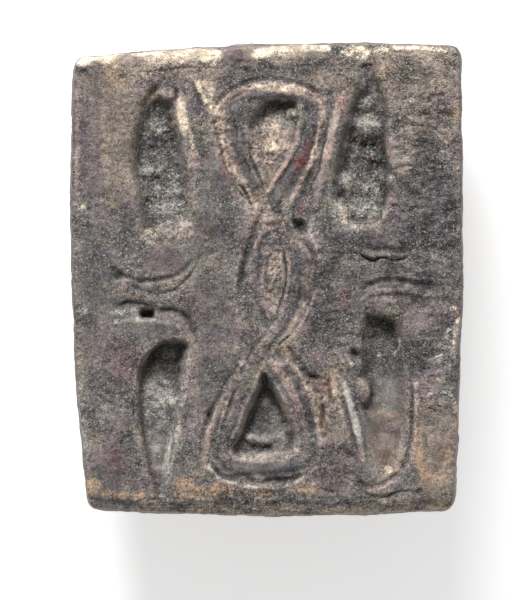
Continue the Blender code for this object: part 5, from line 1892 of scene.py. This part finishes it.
def scatter_tree():
    """The Geometry Nodes tree that scatters grains where the crust mask is high."""
    tree = bpy.data.node_groups.new("Scatter crust grains", "GeometryNodeTree")
    tree.interface.new_socket("Geometry", in_out="INPUT", socket_type="NodeSocketGeometry")
    for label, value in (
        ("Grains per square metre", GRAIN_COUNT_PER_MM2 / MM**2),
        ("Smallest radius", GRAIN_SMALLEST * MM),
        ("Largest radius", GRAIN_LARGEST * MM),
    ):
        tree.interface.new_socket(label, in_out="INPUT", socket_type=FLOAT).default_value = value
    seed = tree.interface.new_socket("Seed", in_out="INPUT", socket_type="NodeSocketInt")
    seed.default_value = GRAIN_SEED
    tree.interface.new_socket("Material", in_out="INPUT", socket_type="NodeSocketMaterial")
    tree.interface.new_socket("Geometry", in_out="OUTPUT", socket_type="NodeSocketGeometry")
    given = tree.nodes.new("NodeGroupInput").outputs
    result = tree.nodes.new("NodeGroupOutput")
    density = grain_density(tree, given["Grains per square metre"])
    values = {"Mesh": given["Geometry"], "Density": density, "Seed": given["Seed"]}
    points = add_node(tree, "GeometryNodeDistributePointsOnFaces", values).outputs["Points"]
    grain = add_node(tree, "GeometryNodeMeshIcoSphere", {"Radius": 1.0, "Subdivisions": 1}).outputs["Mesh"]
    values = {2: given["Smallest radius"], 3: given["Largest radius"], "Seed": given["Seed"]}
    sizes = add_node(tree, "FunctionNodeRandomValue", values, data_type="FLOAT").outputs[1]
    values = {0: random_between(tree, *GRAIN_STRETCH), "Scale": sizes}
    scale = add_node(tree, "ShaderNodeVectorMath", values, operation="SCALE").outputs[0]
    turns = random_between(tree, (0, 0, 0), WHOLE_TURN)
    values = {"Points": points, "Instance": grain, "Rotation": turns, "Scale": scale}
    placed = add_node(tree, "GeometryNodeInstanceOnPoints", values).outputs["Instances"]
    real = add_node(tree, "GeometryNodeRealizeInstances", {"Geometry": placed}).outputs["Geometry"]
    values = {"Geometry": real, "Material": given["Material"]}
    finished = add_node(tree, "GeometryNodeSetMaterial", values).outputs["Geometry"]
    tree.links.new(finished, result.inputs["Geometry"])
    return tree


SCATTER = scatter_tree()
print("the scatter tree has", len(SCATTER.nodes), "nodes")


# %% Grains as a piece
def crust_grains(ground):
    """The loose grains as a plain mesh of their own."""
    carrier = add_object("crust_grains", ground.data.copy())
    scatter = carrier.modifiers.new("scatter", "NODES")
    scatter.node_group = SCATTER
    inputs = [item for item in SCATTER.interface.items_tree if item.in_out == "INPUT"]
    sockets = {item.name: item.identifier for item in inputs}
    scatter[sockets["Material"]] = CRUST_MATERIAL
    data = baked(carrier)
    carrier.modifiers.clear()
    carrier.data = data
    data.shade_flat()
    return carrier


GRAIN_FACES = 20
grains = crust_grains(stone)
print(f"the crust has {len(grains.data.polygons) // GRAIN_FACES} grains of {GRAIN_FACES} faces each")

# %% [markdown]
# ## Riding and replacing
#
# Both pieces belong to the one body. The stone stands for the solid, which stays in the simulation.

# %% Tie the pieces to the frame
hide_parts("seal_stone")
for piece in (stone, grains):
    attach(piece, "root")

# %% [markdown]
# ## Floor, light and camera
#
# The photograph was taken from straight above on a white ground, with a large soft light beyond the upper
# left. The same set is built here: a pale floor that is faintly lit from below, as on a light table, one
# softbox, and a bright even surrounding.

# %% Floor
FLOOR_SIZE = 0.6
FLOOR_COLOUR = (0.84, 0.84, 0.8358, 1)
FLOOR_DULLNESS = 0.9
FLOOR_GLOW = 0.5
WHITE = (1, 1, 1, 1)


def floor_material():
    """A pale, matt ground with a faint light of its own."""
    material = bpy.data.materials.new("floor_paper")
    material.use_nodes = True
    shader = material.node_tree.nodes["Principled BSDF"]
    shader.inputs["Base Color"].default_value = FLOOR_COLOUR
    shader.inputs["Roughness"].default_value = FLOOR_DULLNESS
    shader.inputs["Emission Color"].default_value = WHITE
    shader.inputs["Emission Strength"].default_value = FLOOR_GLOW
    return material


def paper_floor():
    """The ground that the seal lies on."""
    data = bpy.data.meshes.new("floor")
    half = FLOOR_SIZE / 2
    corners = [(-half, -half, 0), (half, -half, 0), (half, half, 0), (-half, half, 0)]
    data.from_pydata(corners, [], [(0, 1, 2, 3)])
    data.materials.append(floor_material())
    return add_object("floor", data)


paper_floor()
print(f"the floor is {FLOOR_SIZE:.1f} m wide")

# %% Light
KEY_DIRECTION = Vector((-0.2, 0.84, 0.76))
KEY_DISTANCE = 0.3
KEY_SIZE = 0.15
KEY_POWER = 1.0
SURROUND = 0.36


def softbox():
    """The large soft light beyond the upper left."""
    light = bpy.data.lights.new("softbox", "AREA")
    light.shape = "DISK"
    light.size = KEY_SIZE
    light.energy = KEY_POWER
    item = add_object("softbox", light)
    item.location = KEY_DIRECTION.normalized() * KEY_DISTANCE
    item.rotation_euler = (-KEY_DIRECTION).to_track_quat("-Z", "Y").to_euler()
    return item


def surround():
    """An even bright surrounding."""
    world = bpy.data.worlds.new("studio")
    world.use_nodes = True
    background = world.node_tree.nodes["Background"]
    background.inputs["Color"].default_value = WHITE
    background.inputs["Strength"].default_value = SURROUND
    bpy.context.scene.world = world


key_light = softbox()
surround()
bpy.context.scene.view_settings.view_transform = "Standard"
print(f"the softbox hangs {key_light.location.z / MM:.0f} mm above the floor")

# %% Camera
# The photograph is 510 by 600 pixels, and the stone's outline is this wide in it.
FRAME_HEIGHT_PX = 600
OUTLINE_WIDTH_PX = 396
FRAME_CENTRE = Vector((-0.386, -0.688, 0))
SENSOR = 36
LENS = 800


def camera_above():
    """A long lens straight above the stone, its top towards the upper end."""
    data = bpy.data.cameras.new("camera")
    data.lens = LENS
    data.sensor_width = SENSOR
    item = add_object("camera", data)
    frame_height = WIDTH / OUTLINE_WIDTH_PX * FRAME_HEIGHT_PX
    distance = frame_height / SENSOR * LENS
    item.location = (FRAME_CENTRE + Vector((0, 0, GIRDLE_HEIGHT + distance))) * MM
    bpy.context.scene.camera = item
    return distance


print(f"the camera is {camera_above():.0f} mm above the girdle")
